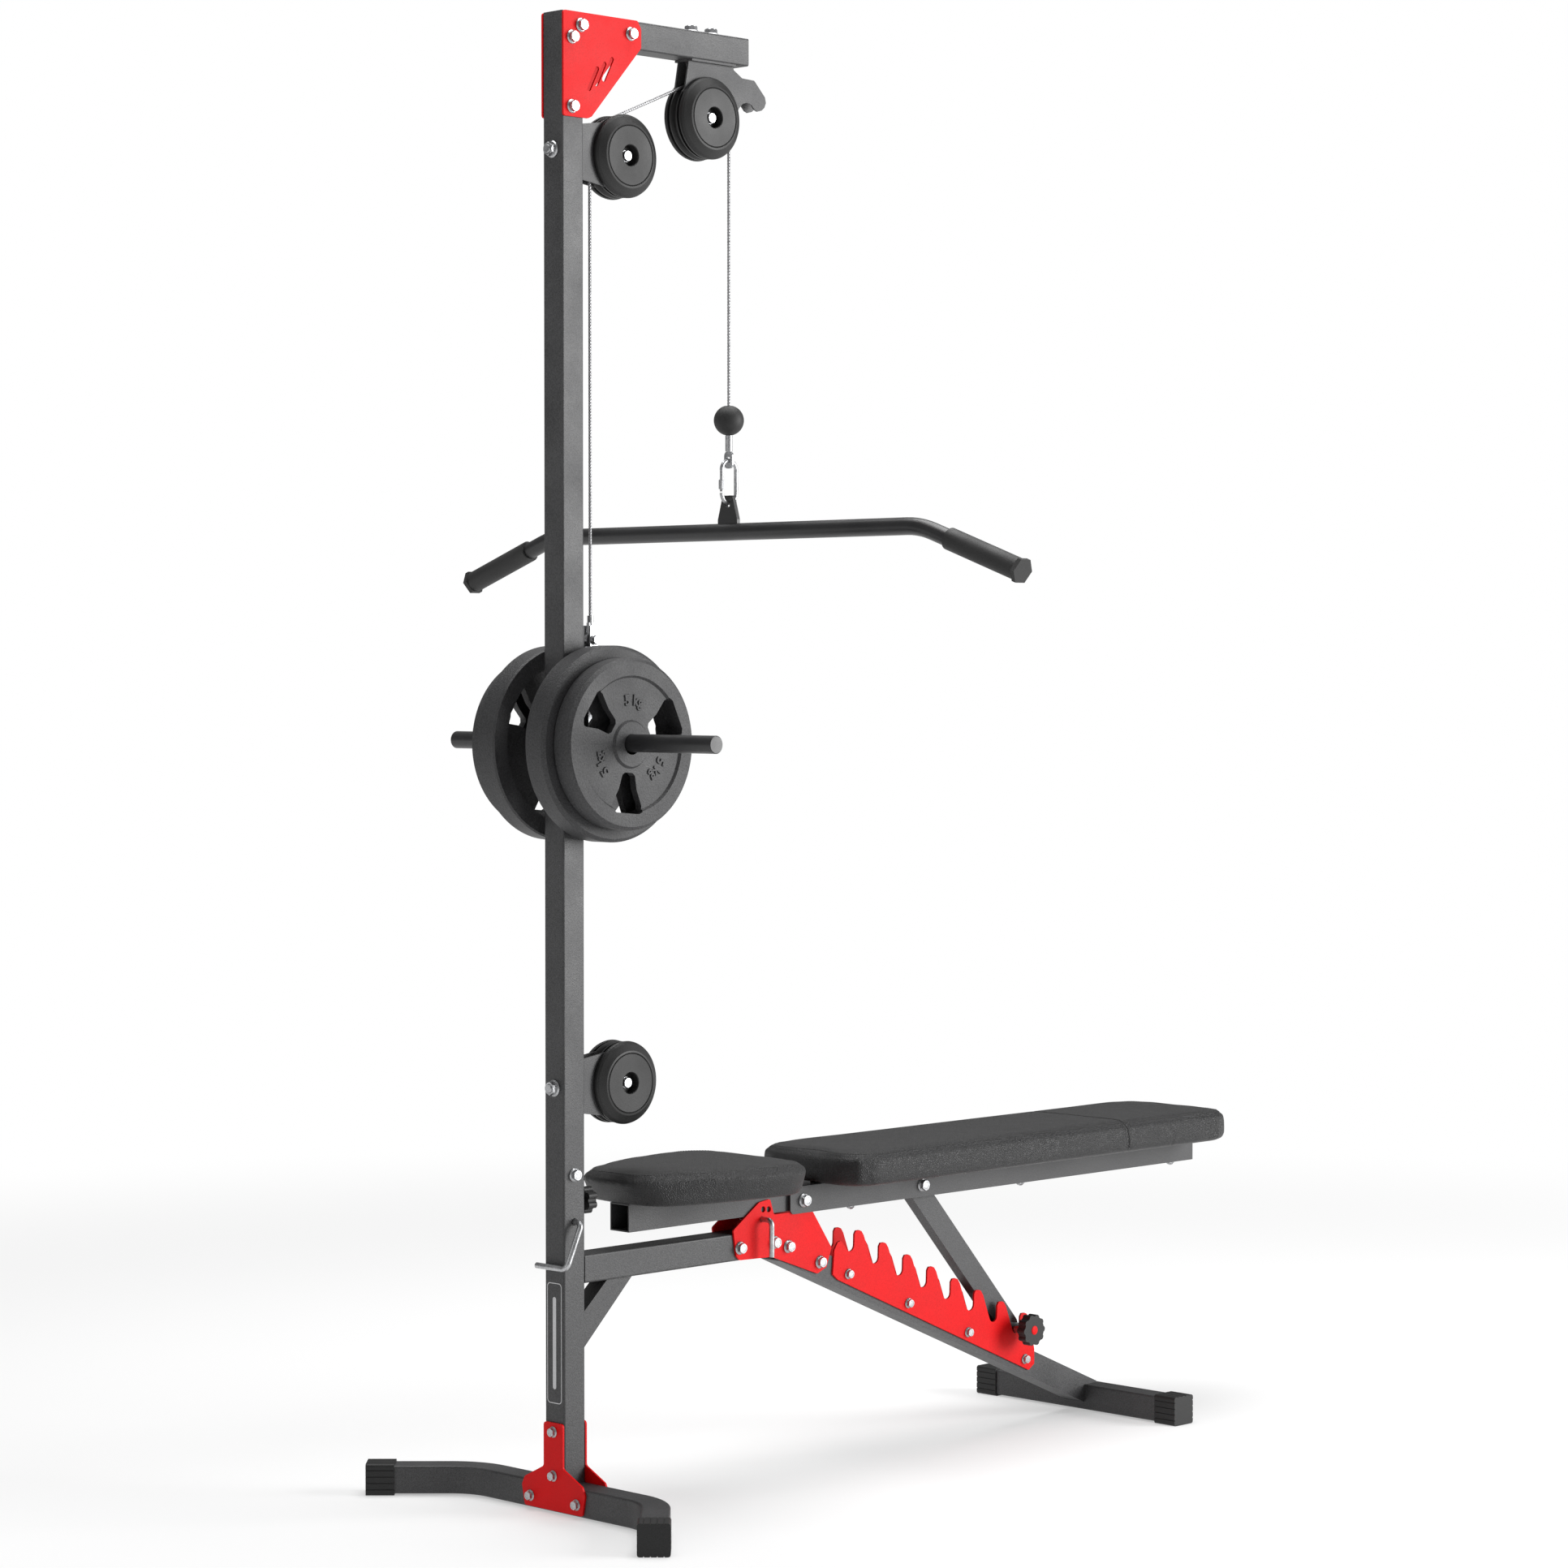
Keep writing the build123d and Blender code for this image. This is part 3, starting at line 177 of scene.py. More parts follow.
# %% A helper for speckled finishes
def finish(name, dark, light, rough, grain, bump, metallic=0.0, cloud=14.0, specular=0.5):
    """dark and light are the colour's two ends, rough the roughness's; grain is the bump's pitch in metres."""
    material = bpy.data.materials.new(name)
    material.use_nodes = True
    nodes, links = material.node_tree.nodes, material.node_tree.links
    shader = nodes["Principled BSDF"]
    shader.inputs["Metallic"].default_value = metallic
    shader.inputs["Specular IOR Level"].default_value = specular
    place = nodes.new("ShaderNodeTexCoord").outputs["Object"]
    clouds = nodes.new("ShaderNodeTexNoise")
    clouds.inputs["Scale"].default_value = cloud
    clouds.inputs["Detail"].default_value = 6
    specks = nodes.new("ShaderNodeTexNoise")
    specks.inputs["Scale"].default_value = 1 / grain
    specks.inputs["Detail"].default_value = 3
    links.new(place, clouds.inputs["Vector"])
    links.new(place, specks.inputs["Vector"])
    both = nodes.new("ShaderNodeMath")
    both.operation = "MULTIPLY_ADD"
    both.inputs[1].default_value = 0.65
    links.new(specks.outputs["Fac"], both.inputs[0])
    part = nodes.new("ShaderNodeMath")
    part.operation = "MULTIPLY"
    part.inputs[1].default_value = 0.35
    links.new(clouds.outputs["Fac"], part.inputs[0])
    links.new(part.outputs[0], both.inputs[2])
    colour = nodes.new("ShaderNodeValToRGB")
    colour.color_ramp.elements[0].position = 0.36
    colour.color_ramp.elements[1].position = 0.64
    colour.color_ramp.elements[0].color = (*dark, 1)
    colour.color_ramp.elements[1].color = (*light, 1)
    links.new(both.outputs[0], colour.inputs["Fac"])
    links.new(colour.outputs["Color"], shader.inputs["Base Color"])
    roughness = nodes.new("ShaderNodeMapRange")
    roughness.inputs["From Min"].default_value = 0.3
    roughness.inputs["From Max"].default_value = 0.7
    roughness.inputs["To Min"].default_value, roughness.inputs["To Max"].default_value = rough
    links.new(clouds.outputs["Fac"], roughness.inputs["Value"])
    links.new(roughness.outputs["Result"], shader.inputs["Roughness"])
    relief = nodes.new("ShaderNodeBump")
    relief.inputs["Strength"].default_value = 1.0
    relief.inputs["Distance"].default_value = bump
    links.new(specks.outputs["Fac"], relief.inputs["Height"])
    links.new(relief.outputs["Normal"], shader.inputs["Normal"])
    return material


def node_of(material, kind):
    return next(n for n in material.node_tree.nodes if n.bl_idname == kind)


# %% [markdown]
# Powder coat is plastic powder baked onto steel. Its skin is a fine orange peel about a
# millimetre across, which breaks reflections into a soft sparkle. The dark grey of the tubes
# and the bright red of the plates differ only in colour and gloss.

# %% Mix the powder coats
grey_coat = finish("textured grey powder coat", (0.016, 0.016, 0.017), (0.058, 0.058, 0.060),
                   (0.42, 0.56), 0.0016, 0.00030, specular=0.55)
red_coat = finish("textured red powder coat", (0.58, 0.0, 0.001), (0.74, 0.004, 0.006),
                  (0.44, 0.56), 0.0014, 0.00014, specular=0.16)
bar_coat = finish("satin black bar coat", (0.010, 0.010, 0.011), (0.020, 0.020, 0.021),
                  (0.32, 0.44), 0.0014, 0.00005)
print("powder coats:", grey_coat.name, "|", red_coat.name, "|", bar_coat.name)

# %% [markdown]
# Cast iron plates are painted thickly over a sand-cast surface, so their bump is coarser and
# deeper. A second, larger cell pattern gives the hammered dimples.

# %% Mix the cast paint
cast_paint = finish("hammered plate paint", (0.014, 0.014, 0.015), (0.044, 0.044, 0.046),
                    (0.48, 0.64), 0.0022, 0.00060, specular=0.5)
cast_nodes, cast_links = cast_paint.node_tree.nodes, cast_paint.node_tree.links
dimples = cast_nodes.new("ShaderNodeTexVoronoi")
dimples.inputs["Scale"].default_value = 260
dimples_bump = cast_nodes.new("ShaderNodeBump")
dimples_bump.inputs["Distance"].default_value = 0.0004
dimples_bump.inputs["Strength"].default_value = 0.5
cast_links.new(node_of(cast_paint, "ShaderNodeTexCoord").outputs["Object"], dimples.inputs["Vector"])
cast_links.new(dimples.outputs["Distance"], dimples_bump.inputs["Height"])
cast_links.new(node_of(cast_paint, "ShaderNodeBump").outputs["Normal"], dimples_bump.inputs["Normal"])
cast_links.new(dimples_bump.outputs["Normal"], cast_nodes["Principled BSDF"].inputs["Normal"])
print("dimples every", round(1000 / 260, 1), "mm")

# %% [markdown]
# The small hardware is zinc plated: a bluish white metal, a little cloudy. The bearings and
# the wire are plain bright steel, a shade darker and smoother.

# %% Mix the metals
zinc = finish("bright zinc plating", (0.34, 0.345, 0.355), (0.54, 0.545, 0.555),
              (0.26, 0.40), 0.0022, 0.00003, metallic=0.9, cloud=90)
bearing_steel = finish("bearing steel", (0.42, 0.42, 0.43), (0.60, 0.60, 0.61),
                       (0.16, 0.28), 0.0016, 0.00001, metallic=1.0, cloud=70)
wire_steel = finish("drawn wire steel", (0.20, 0.20, 0.205), (0.46, 0.46, 0.47),
                    (0.30, 0.44), 0.0012, 0.00002, metallic=0.85, cloud=160)
print("metals:", zinc.name, "|", bearing_steel.name, "|", wire_steel.name)

# %% [markdown]
# Plastics and rubber are all black on this machine, and only their gloss and grain tell them
# apart: spark-textured caps and knobs, smoother nylon wheels, and dull rubber grips.

# %% Mix the plastics
cap_plastic = finish("spark textured black plastic", (0.006, 0.006, 0.006), (0.018, 0.018, 0.018),
                     (0.42, 0.56), 0.0012, 0.00012, specular=0.38)
wheel_nylon = finish("black nylon", (0.008, 0.008, 0.008), (0.018, 0.018, 0.018),
                     (0.34, 0.46), 0.0013, 0.00004, specular=0.4)
grip_rubber = finish("dull black rubber", (0.012, 0.012, 0.012), (0.026, 0.026, 0.026),
                     (0.50, 0.66), 0.0010, 0.00010, specular=0.4)
label_paint = finish("pale label ink", (0.50, 0.50, 0.51), (0.62, 0.62, 0.63), (0.40, 0.50), 0.0012, 0.00002)
print("plastics:", cap_plastic.name, "|", wheel_nylon.name, "|", grip_rubber.name)

# %% [markdown]
# The pads wear black leatherette. Real grain is a net of small pebbles parted by creases, and
# a Voronoi texture's distance to its cell edges gives exactly that net. A light sheen on top
# is the way such vinyl catches a window.

# %% Mix the leatherette
leatherette = finish("grained black leatherette", (0.005, 0.005, 0.0055), (0.014, 0.014, 0.0145),
                     (0.42, 0.54), 0.0030, 0.00020, specular=0.42)
PEBBLES_PER_METRE = 330
hide_nodes, hide_links = leatherette.node_tree.nodes, leatherette.node_tree.links
pebbles = hide_nodes.new("ShaderNodeTexVoronoi")
pebbles.feature = "DISTANCE_TO_EDGE"
pebbles.inputs["Scale"].default_value = PEBBLES_PER_METRE
crease = hide_nodes.new("ShaderNodeMapRange")
crease.inputs["From Max"].default_value = 0.22
crease_bump = hide_nodes.new("ShaderNodeBump")
crease_bump.inputs["Distance"].default_value = 0.00050
crease_bump.inputs["Strength"].default_value = 0.8
hide_links.new(node_of(leatherette, "ShaderNodeTexCoord").outputs["Object"], pebbles.inputs["Vector"])
hide_links.new(pebbles.outputs["Distance"], crease.inputs["Value"])
hide_links.new(crease.outputs["Result"], crease_bump.inputs["Height"])
hide_links.new(node_of(leatherette, "ShaderNodeBump").outputs["Normal"], crease_bump.inputs["Normal"])
hide_links.new(crease_bump.outputs["Normal"], hide_nodes["Principled BSDF"].inputs["Normal"])
hide_nodes["Principled BSDF"].inputs["Sheen Weight"].default_value = 0.05
hide_nodes["Principled BSDF"].inputs["Sheen Roughness"].default_value = 0.4
thread = finish("black sewing thread", (0.020, 0.020, 0.020), (0.045, 0.045, 0.045),
                (0.55, 0.70), 0.0006, 0.00006)
print("leather pebbles every", round(1000 / PEBBLES_PER_METRE, 1), "mm")

# %% [markdown]
# ## Paint the CAD parts
# The CAD tubes, plates, wheels and caps already have their true shape, so they keep it and
# only receive a finish. The record says which finish slot each part belongs to.

# %% Give each CAD part its finish
FINISHES = {"frame_coat": grey_coat, "red_coat": red_coat, "zinc": zinc, "bearing_steel": bearing_steel,
            "cable_steel": wire_steel, "black_plastic": cap_plastic, "wheel_nylon": wheel_nylon,
            "rubber": grip_rubber, "black_bar": bar_coat, "cast_plate": cast_paint, "pad_cover": leatherette}
for part in frame["record"]["subparts"]:
    mesh = frame["nodes"][part["node"]].data
    mesh.materials.clear()
    mesh.materials.append(FINISHES[part["material_slot"]])

# %% [markdown]
# ## Turned shapes
# Bolt heads, knobs and inlays are turned or lobed. One helper makes them all: it stacks rings
# round the Z axis, each ring given by its height and by a radius that may change with the
# angle. A hexagon is just a radius that grows towards its six corners.

# %% A helper that stacks rings
def stack_rings(rings, steps):
    """rings is a list of (height, radius function of the angle); the ends are closed by a point on the axis."""
    angles = [2 * math.pi * k / steps for k in range(steps)]
    points = [(r(a) * math.cos(a), r(a) * math.sin(a), z) for z, r in rings for a in angles]
    faces = [(i * steps + k, i * steps + (k + 1) % steps, (i + 1) * steps + (k + 1) % steps, (i + 1) * steps + k)
             for i in range(len(rings) - 1) for k in range(steps)]
    points += [(0, 0, rings[0][0]), (0, 0, rings[-1][0])]
    base, top, last = len(points) - 2, len(points) - 1, (len(rings) - 1) * steps
    faces += [(base, (k + 1) % steps, k) for k in range(steps)]
    faces += [(top, last + k, last + (k + 1) % steps) for k in range(steps)]
    return points, faces


def round_at(radius):
    return lambda angle: radius


def hexagon_at(half_width, limit):
    def radius(angle):
        turn = (angle + math.pi / 6) % (math.pi / 3) - math.pi / 6
        return min(half_width / math.cos(turn), limit)
    return radius


def round_rings(profile):
    """Round rings for stack_rings, from (height, radius) pairs."""
    return [(height, round_at(radius)) for height, radius in profile]


# %% [markdown]
# A flange bolt's head is a hexagon with its corners turned off, on a sloping washer face. The
# nut on the other end is the same with the threaded tip of the bolt standing out of it. Both
# are drawn for a washer face of radius 1, so that one drawing serves every size of bolt.

# %% Draw the bolt head and the nut
HEX = 0.72
FLANGE_EDGE = round_rings([(0.0, 0.94), (0.03, 1.0), (0.10, 1.0), (0.14, 0.96), (0.26, 0.86)])
HEX_WALL = [(height, hexagon_at(HEX, size)) for height, size in ((0.27, 0.83), (0.66, 0.83), (0.76, 0.79), (0.81, 0.72))]
head_drawing = stack_rings(FLANGE_EDGE + HEX_WALL + [(0.815, round_at(0.50)), (0.78, round_at(0.46))], 36)
THREADED_TIP = round_rings([(0.80, 0.54), (0.76, 0.52), (0.90, 0.47), (0.94, 0.43)])
nut_drawing = stack_rings(FLANGE_EDGE + HEX_WALL + THREADED_TIP, 36)
head_shape = new_mesh_object("head_drawing", *head_drawing)
nut_shape = new_mesh_object("nut_drawing", *nut_drawing)
shank_shape = new_mesh_object("shank_drawing", *stack_rings([(0.0, round_at(0.5)), (1.0, round_at(0.5))], 20))
print("bolt head has", len(head_shape.data.polygons), "faces")

# %% [markdown]
# ## One tree that places copies
# There are some fifty bolt heads and hundreds of stitches. Geometry Nodes place them: a mesh
# of loose points carries, for each copy, how it is turned and how large it is. The tree puts
# the drawing on each point, makes the copies real and paints them.

# %% Build the tree that places copies
def copy_tree():
    tree = bpy.data.node_groups.new("place copies on points", "GeometryNodeTree")
    tree.interface.new_socket("Points", in_out="INPUT", socket_type="NodeSocketGeometry")
    tree.interface.new_socket("Drawing", in_out="INPUT", socket_type="NodeSocketObject")
    tree.interface.new_socket("Size", in_out="INPUT", socket_type="NodeSocketFloat")
    tree.interface.new_socket("Finish", in_out="INPUT", socket_type="NodeSocketMaterial")
    tree.interface.new_socket("Copies", in_out="OUTPUT", socket_type="NodeSocketGeometry")
    nodes, links = tree.nodes, tree.links
    given, result = nodes.new("NodeGroupInput"), nodes.new("NodeGroupOutput")
    drawing = nodes.new("GeometryNodeObjectInfo")
    turn, grow = nodes.new("GeometryNodeInputNamedAttribute"), nodes.new("GeometryNodeInputNamedAttribute")
    turn.data_type = grow.data_type = "FLOAT_VECTOR"
    turn.inputs["Name"].default_value, grow.inputs["Name"].default_value = "turn", "grow"
    scale = nodes.new("ShaderNodeVectorMath")
    scale.operation = "SCALE"
    copies = nodes.new("GeometryNodeInstanceOnPoints")
    real = nodes.new("GeometryNodeRealizeInstances")
    paint = nodes.new("GeometryNodeSetMaterial")
    links.new(given.outputs["Points"], copies.inputs["Points"])
    links.new(given.outputs["Drawing"], drawing.inputs["Object"])
    links.new(drawing.outputs["Geometry"], copies.inputs["Instance"])
    links.new(turn.outputs["Attribute"], copies.inputs["Rotation"])
    links.new(grow.outputs["Attribute"], scale.inputs[0])
    links.new(given.outputs["Size"], scale.inputs["Scale"])
    links.new(scale.outputs["Vector"], copies.inputs["Scale"])
    links.new(copies.outputs["Instances"], real.inputs["Geometry"])
    links.new(real.outputs["Geometry"], paint.inputs["Geometry"])
    links.new(given.outputs["Finish"], paint.inputs["Material"])
    links.new(paint.outputs["Geometry"], result.inputs["Copies"])
    return tree


COPIES = copy_tree()
print("tree inputs:", [s.name for s in COPIES.interface.items_tree if s.in_out == "INPUT"])

# %% [markdown]
# A tree's inputs are set through each socket's identifier. The finished geometry is then taken
# off the modifier as a plain mesh, because only plain meshes ride along with the model.

# %% Helpers that run a tree and keep its mesh
def run_tree(thing, tree, **inputs):
    modifier = thing.modifiers.new("tree", "NODES")
    modifier.node_group = tree
    for socket in tree.interface.items_tree:
        if socket.in_out == "INPUT" and socket.name in inputs:
            modifier[socket.identifier] = inputs[socket.name]
    bpy.context.view_layer.update()
    mesh = bpy.data.meshes.new_from_object(thing.evaluated_get(bpy.context.evaluated_depsgraph_get()))
    thing.modifiers.clear()
    return mesh


def one_finish(mesh, paint):
    mesh.materials.clear()
    mesh.materials.append(paint)
    mesh.polygons.foreach_set("material_index", [0] * len(mesh.polygons))


def place_copies(name, places, drawing, size, paint):
    """places is a list of (point, the copy's own Z direction, (x, y, z) growth)."""
    points = new_mesh_object(name + "_points", [p for p, _, _ in places], [])
    turns = [Vector(d).to_track_quat("Z", "Y").to_euler() for _, d, _ in places]
    grows = [g for _, _, g in places]
    for label, values in (("turn", turns), ("grow", grows)):
        stored = points.data.attributes.new(label, "FLOAT_VECTOR", "POINT")
        stored.data.foreach_set("vector", [c for v in values for c in v])
    mesh = run_tree(points, COPIES, Drawing=drawing, Size=size, Finish=paint)
    bpy.data.objects.remove(points)
    one_finish(mesh, paint)
    return mesh


def join_meshes(name, meshes, paint):
    joined = bmesh.new()
    for mesh in meshes:
        joined.from_mesh(mesh)
    for face in joined.faces:
        face.material_index = 0
    result = bpy.data.meshes.new(name)
    joined.to_mesh(result)
    joined.free()
    result.materials.append(paint)
    thing = bpy.data.objects.new(name, result)
    scene.collection.objects.link(thing)
    return thing


# %% [markdown]
# ## Bolts and nuts
# The CAD holds each bolt as a plain hexagon on a plain disc. We read from it where each bolt
# sits: its loose pieces are the bolts, the long side of each piece is its axis, and the widest
# ring near each end is the washer face. The detailed heads then take those places.

# %% Read the bolts from the CAD
def loose_pieces(node):
    shape = bmesh.new()
    shape.from_mesh(frame["nodes"][node].data)
    bmesh.ops.remove_doubles(shape, verts=shape.verts, dist=1e-6)
    seen, found = set(), []
    for start in shape.verts:
        if start in seen:
            continue
        group, stack = [], [start]
        seen.add(start)
        while stack:
            vert = stack.pop()
            group.append(vert.co.copy())
            for edge in vert.link_edges:
                other = edge.other_vert(vert)
                if other not in seen:
                    seen.add(other)
                    stack.append(other)
        found.append(np.array(group))
    shape.free()
    return found


def bolt_ends(group):
    """(axis number, centre of the bolt, [(end sign, washer face's place on the axis, washer radius)])"""
    axis = int(np.argmax(group.max(0) - group.min(0)))
    centre = (group.max(0) + group.min(0)) / 2
    along = group[:, axis] - centre[axis]
    radius = np.linalg.norm(np.delete(group - centre, axis, 1), axis=1)
    ends = []
    for sign in (-1, 1):
        side = along * sign > 0
        widest = radius[side].max()
        seat = (along[side] * sign)[radius[side] > widest * 0.985].min()
        ends.append((sign, centre[axis] + sign * seat, widest))
    return axis, centre, ends


BOLT_BODIES = {"tower_bolts": "frame", "bench_bolts": "frame", "backrest_bolts": "backrest", "clevis_bolt": "carriage"}
all_bolts = {node: [bolt_ends(g) for g in loose_pieces(node)] for node in BOLT_BODIES}
print({node: len(found) for node, found in all_bolts.items()}, "bolts")

# %% [markdown]
# Nuts show their threaded tips on the far side of the plates, on top of the arm, and behind the
# post where a wide washer spreads the load of a pulley bracket. Each set of bolts becomes one
# piece that stands for its CAD node.

# %% Make the bolts
def make_bolts(node, body):
    heads, nuts, shanks = [], [], []
    for axis, centre, ends in all_bolts[node]:
        for sign, seat, radius in ends:
            place, way = list(centre), [0, 0, 0]
            place[axis], way[axis] = seat, sign
            is_nut = sign < 0 and radius > 0.0115 if axis == 0 else sign > 0
            (nuts if is_nut else heads).append((place, way, (radius,) * 3))
        low, high = ends[0][1], ends[1][1]
        start, way = list(centre), [0, 0, 0]
        start[axis], way[axis] = low, 1
        shanks.append((start, way, (0.0096, 0.0096, high - low)))
    kinds = (("heads", heads, head_shape), ("nuts", nuts, nut_shape), ("shanks", shanks, shank_shape))
    copies = [place_copies(label, places, shape, 1.0, zinc) for label, places, shape in kinds]
    piece = join_meshes(node + "_detailed", copies, zinc)
    for face in piece.data.polygons:
        face.use_smooth = False
    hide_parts(node)
    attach(piece, body)
    return piece


for node, body in BOLT_BODIES.items():
    piece = make_bolts(node, body)
    print(piece.name, len(piece.data.polygons), "faces")
for drawing in (head_shape, nut_shape, shank_shape):
    bpy.data.objects.remove(drawing)

# %% [markdown]
# ## The cable
# Wire rope is six strands laid round a core. At this size each strand is less than two
# millimetres thick, so a single tube with six rounded lobes that turn along its length looks
# the same and costs far less. The tree below tilts a curve by its length and sweeps a
# six-lobed profile along it.

# %% Build the tree that twists a wire
def wire_tree():
    tree = bpy.data.node_groups.new("twisted wire", "GeometryNodeTree")
    tree.interface.new_socket("Path", in_out="INPUT", socket_type="NodeSocketGeometry")
    for label in ("Radius", "Lay", "Step"):
        tree.interface.new_socket(label, in_out="INPUT", socket_type="NodeSocketFloat")
    tree.interface.new_socket("Finish", in_out="INPUT", socket_type="NodeSocketMaterial")
    tree.interface.new_socket("Wire", in_out="OUTPUT", socket_type="NodeSocketGeometry")
    nodes, links = tree.nodes, tree.links

    def maths(operation, *values):
        node = nodes.new("ShaderNodeMath")
        node.operation = operation
        for slot, value in zip(node.inputs, values):
            if isinstance(value, (int, float)):
                slot.default_value = value
            else:
                links.new(value, slot)
        return node.outputs[0]

    given, result = nodes.new("NodeGroupInput"), nodes.new("NodeGroupOutput")
    even = nodes.new("GeometryNodeResampleCurve")
    even.mode = "LENGTH"
    links.new(given.outputs["Path"], even.inputs["Curve"])
    links.new(given.outputs["Step"], even.inputs["Length"])
    along = nodes.new("GeometryNodeSplineParameter")
    tilt = nodes.new("GeometryNodeSetCurveTilt")
    links.new(even.outputs["Curve"], tilt.inputs["Curve"])
    links.new(maths("MULTIPLY", maths("DIVIDE", along.outputs["Length"], given.outputs["Lay"]), 2 * math.pi), tilt.inputs["Tilt"])
    ring = nodes.new("GeometryNodeCurvePrimitiveCircle")
    ring.inputs["Resolution"].default_value = 24
    links.new(given.outputs["Radius"], ring.inputs["Radius"])
    number = nodes.new("GeometryNodeInputIndex")
    lobe = maths("ABSOLUTE", maths("COSINE", maths("MULTIPLY", number.outputs["Index"], math.pi / 4)))
    place, stretch = nodes.new("GeometryNodeInputPosition"), nodes.new("ShaderNodeVectorMath")
    stretch.operation = "SCALE"
    links.new(place.outputs["Position"], stretch.inputs[0])
    links.new(maths("ADD", maths("MULTIPLY", lobe, 0.26), 0.74), stretch.inputs["Scale"])
    lobed = nodes.new("GeometryNodeSetPosition")
    links.new(ring.outputs["Curve"], lobed.inputs["Geometry"])
    links.new(stretch.outputs["Vector"], lobed.inputs["Position"])
    sweep = nodes.new("GeometryNodeCurveToMesh")
    sweep.inputs["Fill Caps"].default_value = True
    links.new(tilt.outputs["Curve"], sweep.inputs["Curve"])
    links.new(lobed.outputs["Geometry"], sweep.inputs["Profile Curve"])
    real, paint = nodes.new("GeometryNodeRealizeInstances"), nodes.new("GeometryNodeSetMaterial")
    links.new(sweep.outputs["Mesh"], real.inputs["Geometry"])
    links.new(real.outputs["Geometry"], paint.inputs["Geometry"])
    links.new(given.outputs["Finish"], paint.inputs["Material"])
    links.new(paint.outputs["Geometry"], result.inputs["Wire"])
    return tree


WIRE = wire_tree()
print("wire tree has", len(WIRE.nodes), "nodes")

# %% [markdown]
# The cable has three stretches: up from the weights, over the two wheels, and down to the
# handle. The upright runs lengthen and shorten as the weights move; here each of them is fixed
# in place and rides with no body, while the stretch over the wheels stays with the frame.

# %% Find the cable's path
run_low, run_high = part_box("cable_rear_run")
end_low, end_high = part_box("cable_front_run")
wire_radius = (run_high.y - run_low.y) / 2
rear_x, front_x = (run_low.x + run_high.x) / 2, (end_low.x + end_high.x) / 2
wheels = []
for name in ("upper_pulley_bearing", "front_pulley_bearing"):
    low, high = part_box(name)
    wheels.append(((low.x + high.x) / 2, (low.z + high.z) / 2))
(upper_x, upper_z), (front_wheel_x, front_z) = wheels
wrap = upper_x - rear_x
slope = math.atan2(front_z - upper_z, front_wheel_x - upper_x)
print("wire radius", round(wire_radius * 1000, 2), "mm, wraps at", round(wrap * 1000, 1), "mm, slope", round(math.degrees(slope), 1))

# %% Twist the wire
def wire_piece(name, points, node, body=None, ends=None):
    path = bpy.data.curves.new(name + "_path", "CURVE")
    path.dimensions = "3D"
    line = path.splines.new("POLY")
    line.points.add(len(points) - 1)
    for knot, (x, z) in zip(line.points, points):
        knot.co = (x, 0, z, 1)
    holder = bpy.data.objects.new(name + "_path", path)
    scene.collection.objects.link(holder)
    mesh = run_tree(holder, WIRE, Radius=wire_radius, Lay=0.026, Step=0.0014, Finish=wire_steel)
    bpy.data.objects.remove(holder)
    one_finish(mesh, wire_steel)
    wire = bpy.data.objects.new(name, mesh)
    scene.collection.objects.link(wire)
    for face in mesh.polygons:
        face.use_smooth = True
    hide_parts(node)
    if ends:
        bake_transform(wire)
    else:
        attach(wire, body)
    print(name, len(mesh.polygons), "faces")
    return wire


def arc(centre_x, centre_z, start, end, steps=24):
    return [(centre_x + wrap * math.cos(a), centre_z + wrap * math.sin(a)) for a in np.linspace(start, end, steps)]


over_wheels = arc(upper_x, upper_z, math.pi, math.pi / 2 + slope) + arc(front_wheel_x, front_z, math.pi / 2 + slope, 0)
wire_piece("wire_over_wheels", over_wheels, "cable_over_pulleys", body="frame")
wire_piece("wire_to_weights", [(rear_x, run_high.z), (rear_x, run_low.z)], "cable_rear_run", ends=[("frame", "carriage")])
wire_piece("wire_to_handle", [(front_x, end_high.z), (front_x, end_low.z)], "cable_front_run", ends=[("frame", "cable_end")])

# %% [markdown]
# ## Pads
# A bench pad is a slab of foam on a board, wrapped in leatherette that is pulled tight and
# sewn. The foam pushes the cover out, so the top is a little crowned and the walls bulge
# between the seams. We start from a slightly smaller copy of the CAD pad, remesh it evenly,
# and blow it up with cloth under pressure while its underside, which lies on the board, is
# held still. A cap on how far a point may move keeps the pad inside its true size.

# %% Make the foam slab
def slab_from(node, name, shrink, voxel):
    mesh = frame["nodes"][node].data.copy()
    shape = bmesh.new()
    shape.from_mesh(mesh)
    bmesh.ops.remove_doubles(shape, verts=shape.verts, dist=1e-5)
    low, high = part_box(node)
    middle = (low + high) / 2
    for vert in shape.verts:
        for axis in (0, 1, 2):
            half = (high[axis] - low[axis]) / 2
            keep = (half - shrink) / half
            vert.co[axis] = middle[axis] + (vert.co[axis] - middle[axis]) * keep
        vert.co.z -= shrink
    shape.to_mesh(mesh)
    shape.free()
    mesh.materials.clear()
    slab = bpy.data.objects.new(name, mesh)
    scene.collection.objects.link(slab)
    remesh = slab.modifiers.new("even", "REMESH")
    remesh.mode = "VOXEL"
    remesh.voxel_size = voxel
    even = bpy.data.meshes.new_from_object(slab.evaluated_get(bpy.context.evaluated_depsgraph_get()))
    slab.modifiers.clear()
    slab.data = even
    slab.data.name = name
    print(name, "slab has", len(even.vertices), "points")
    return slab


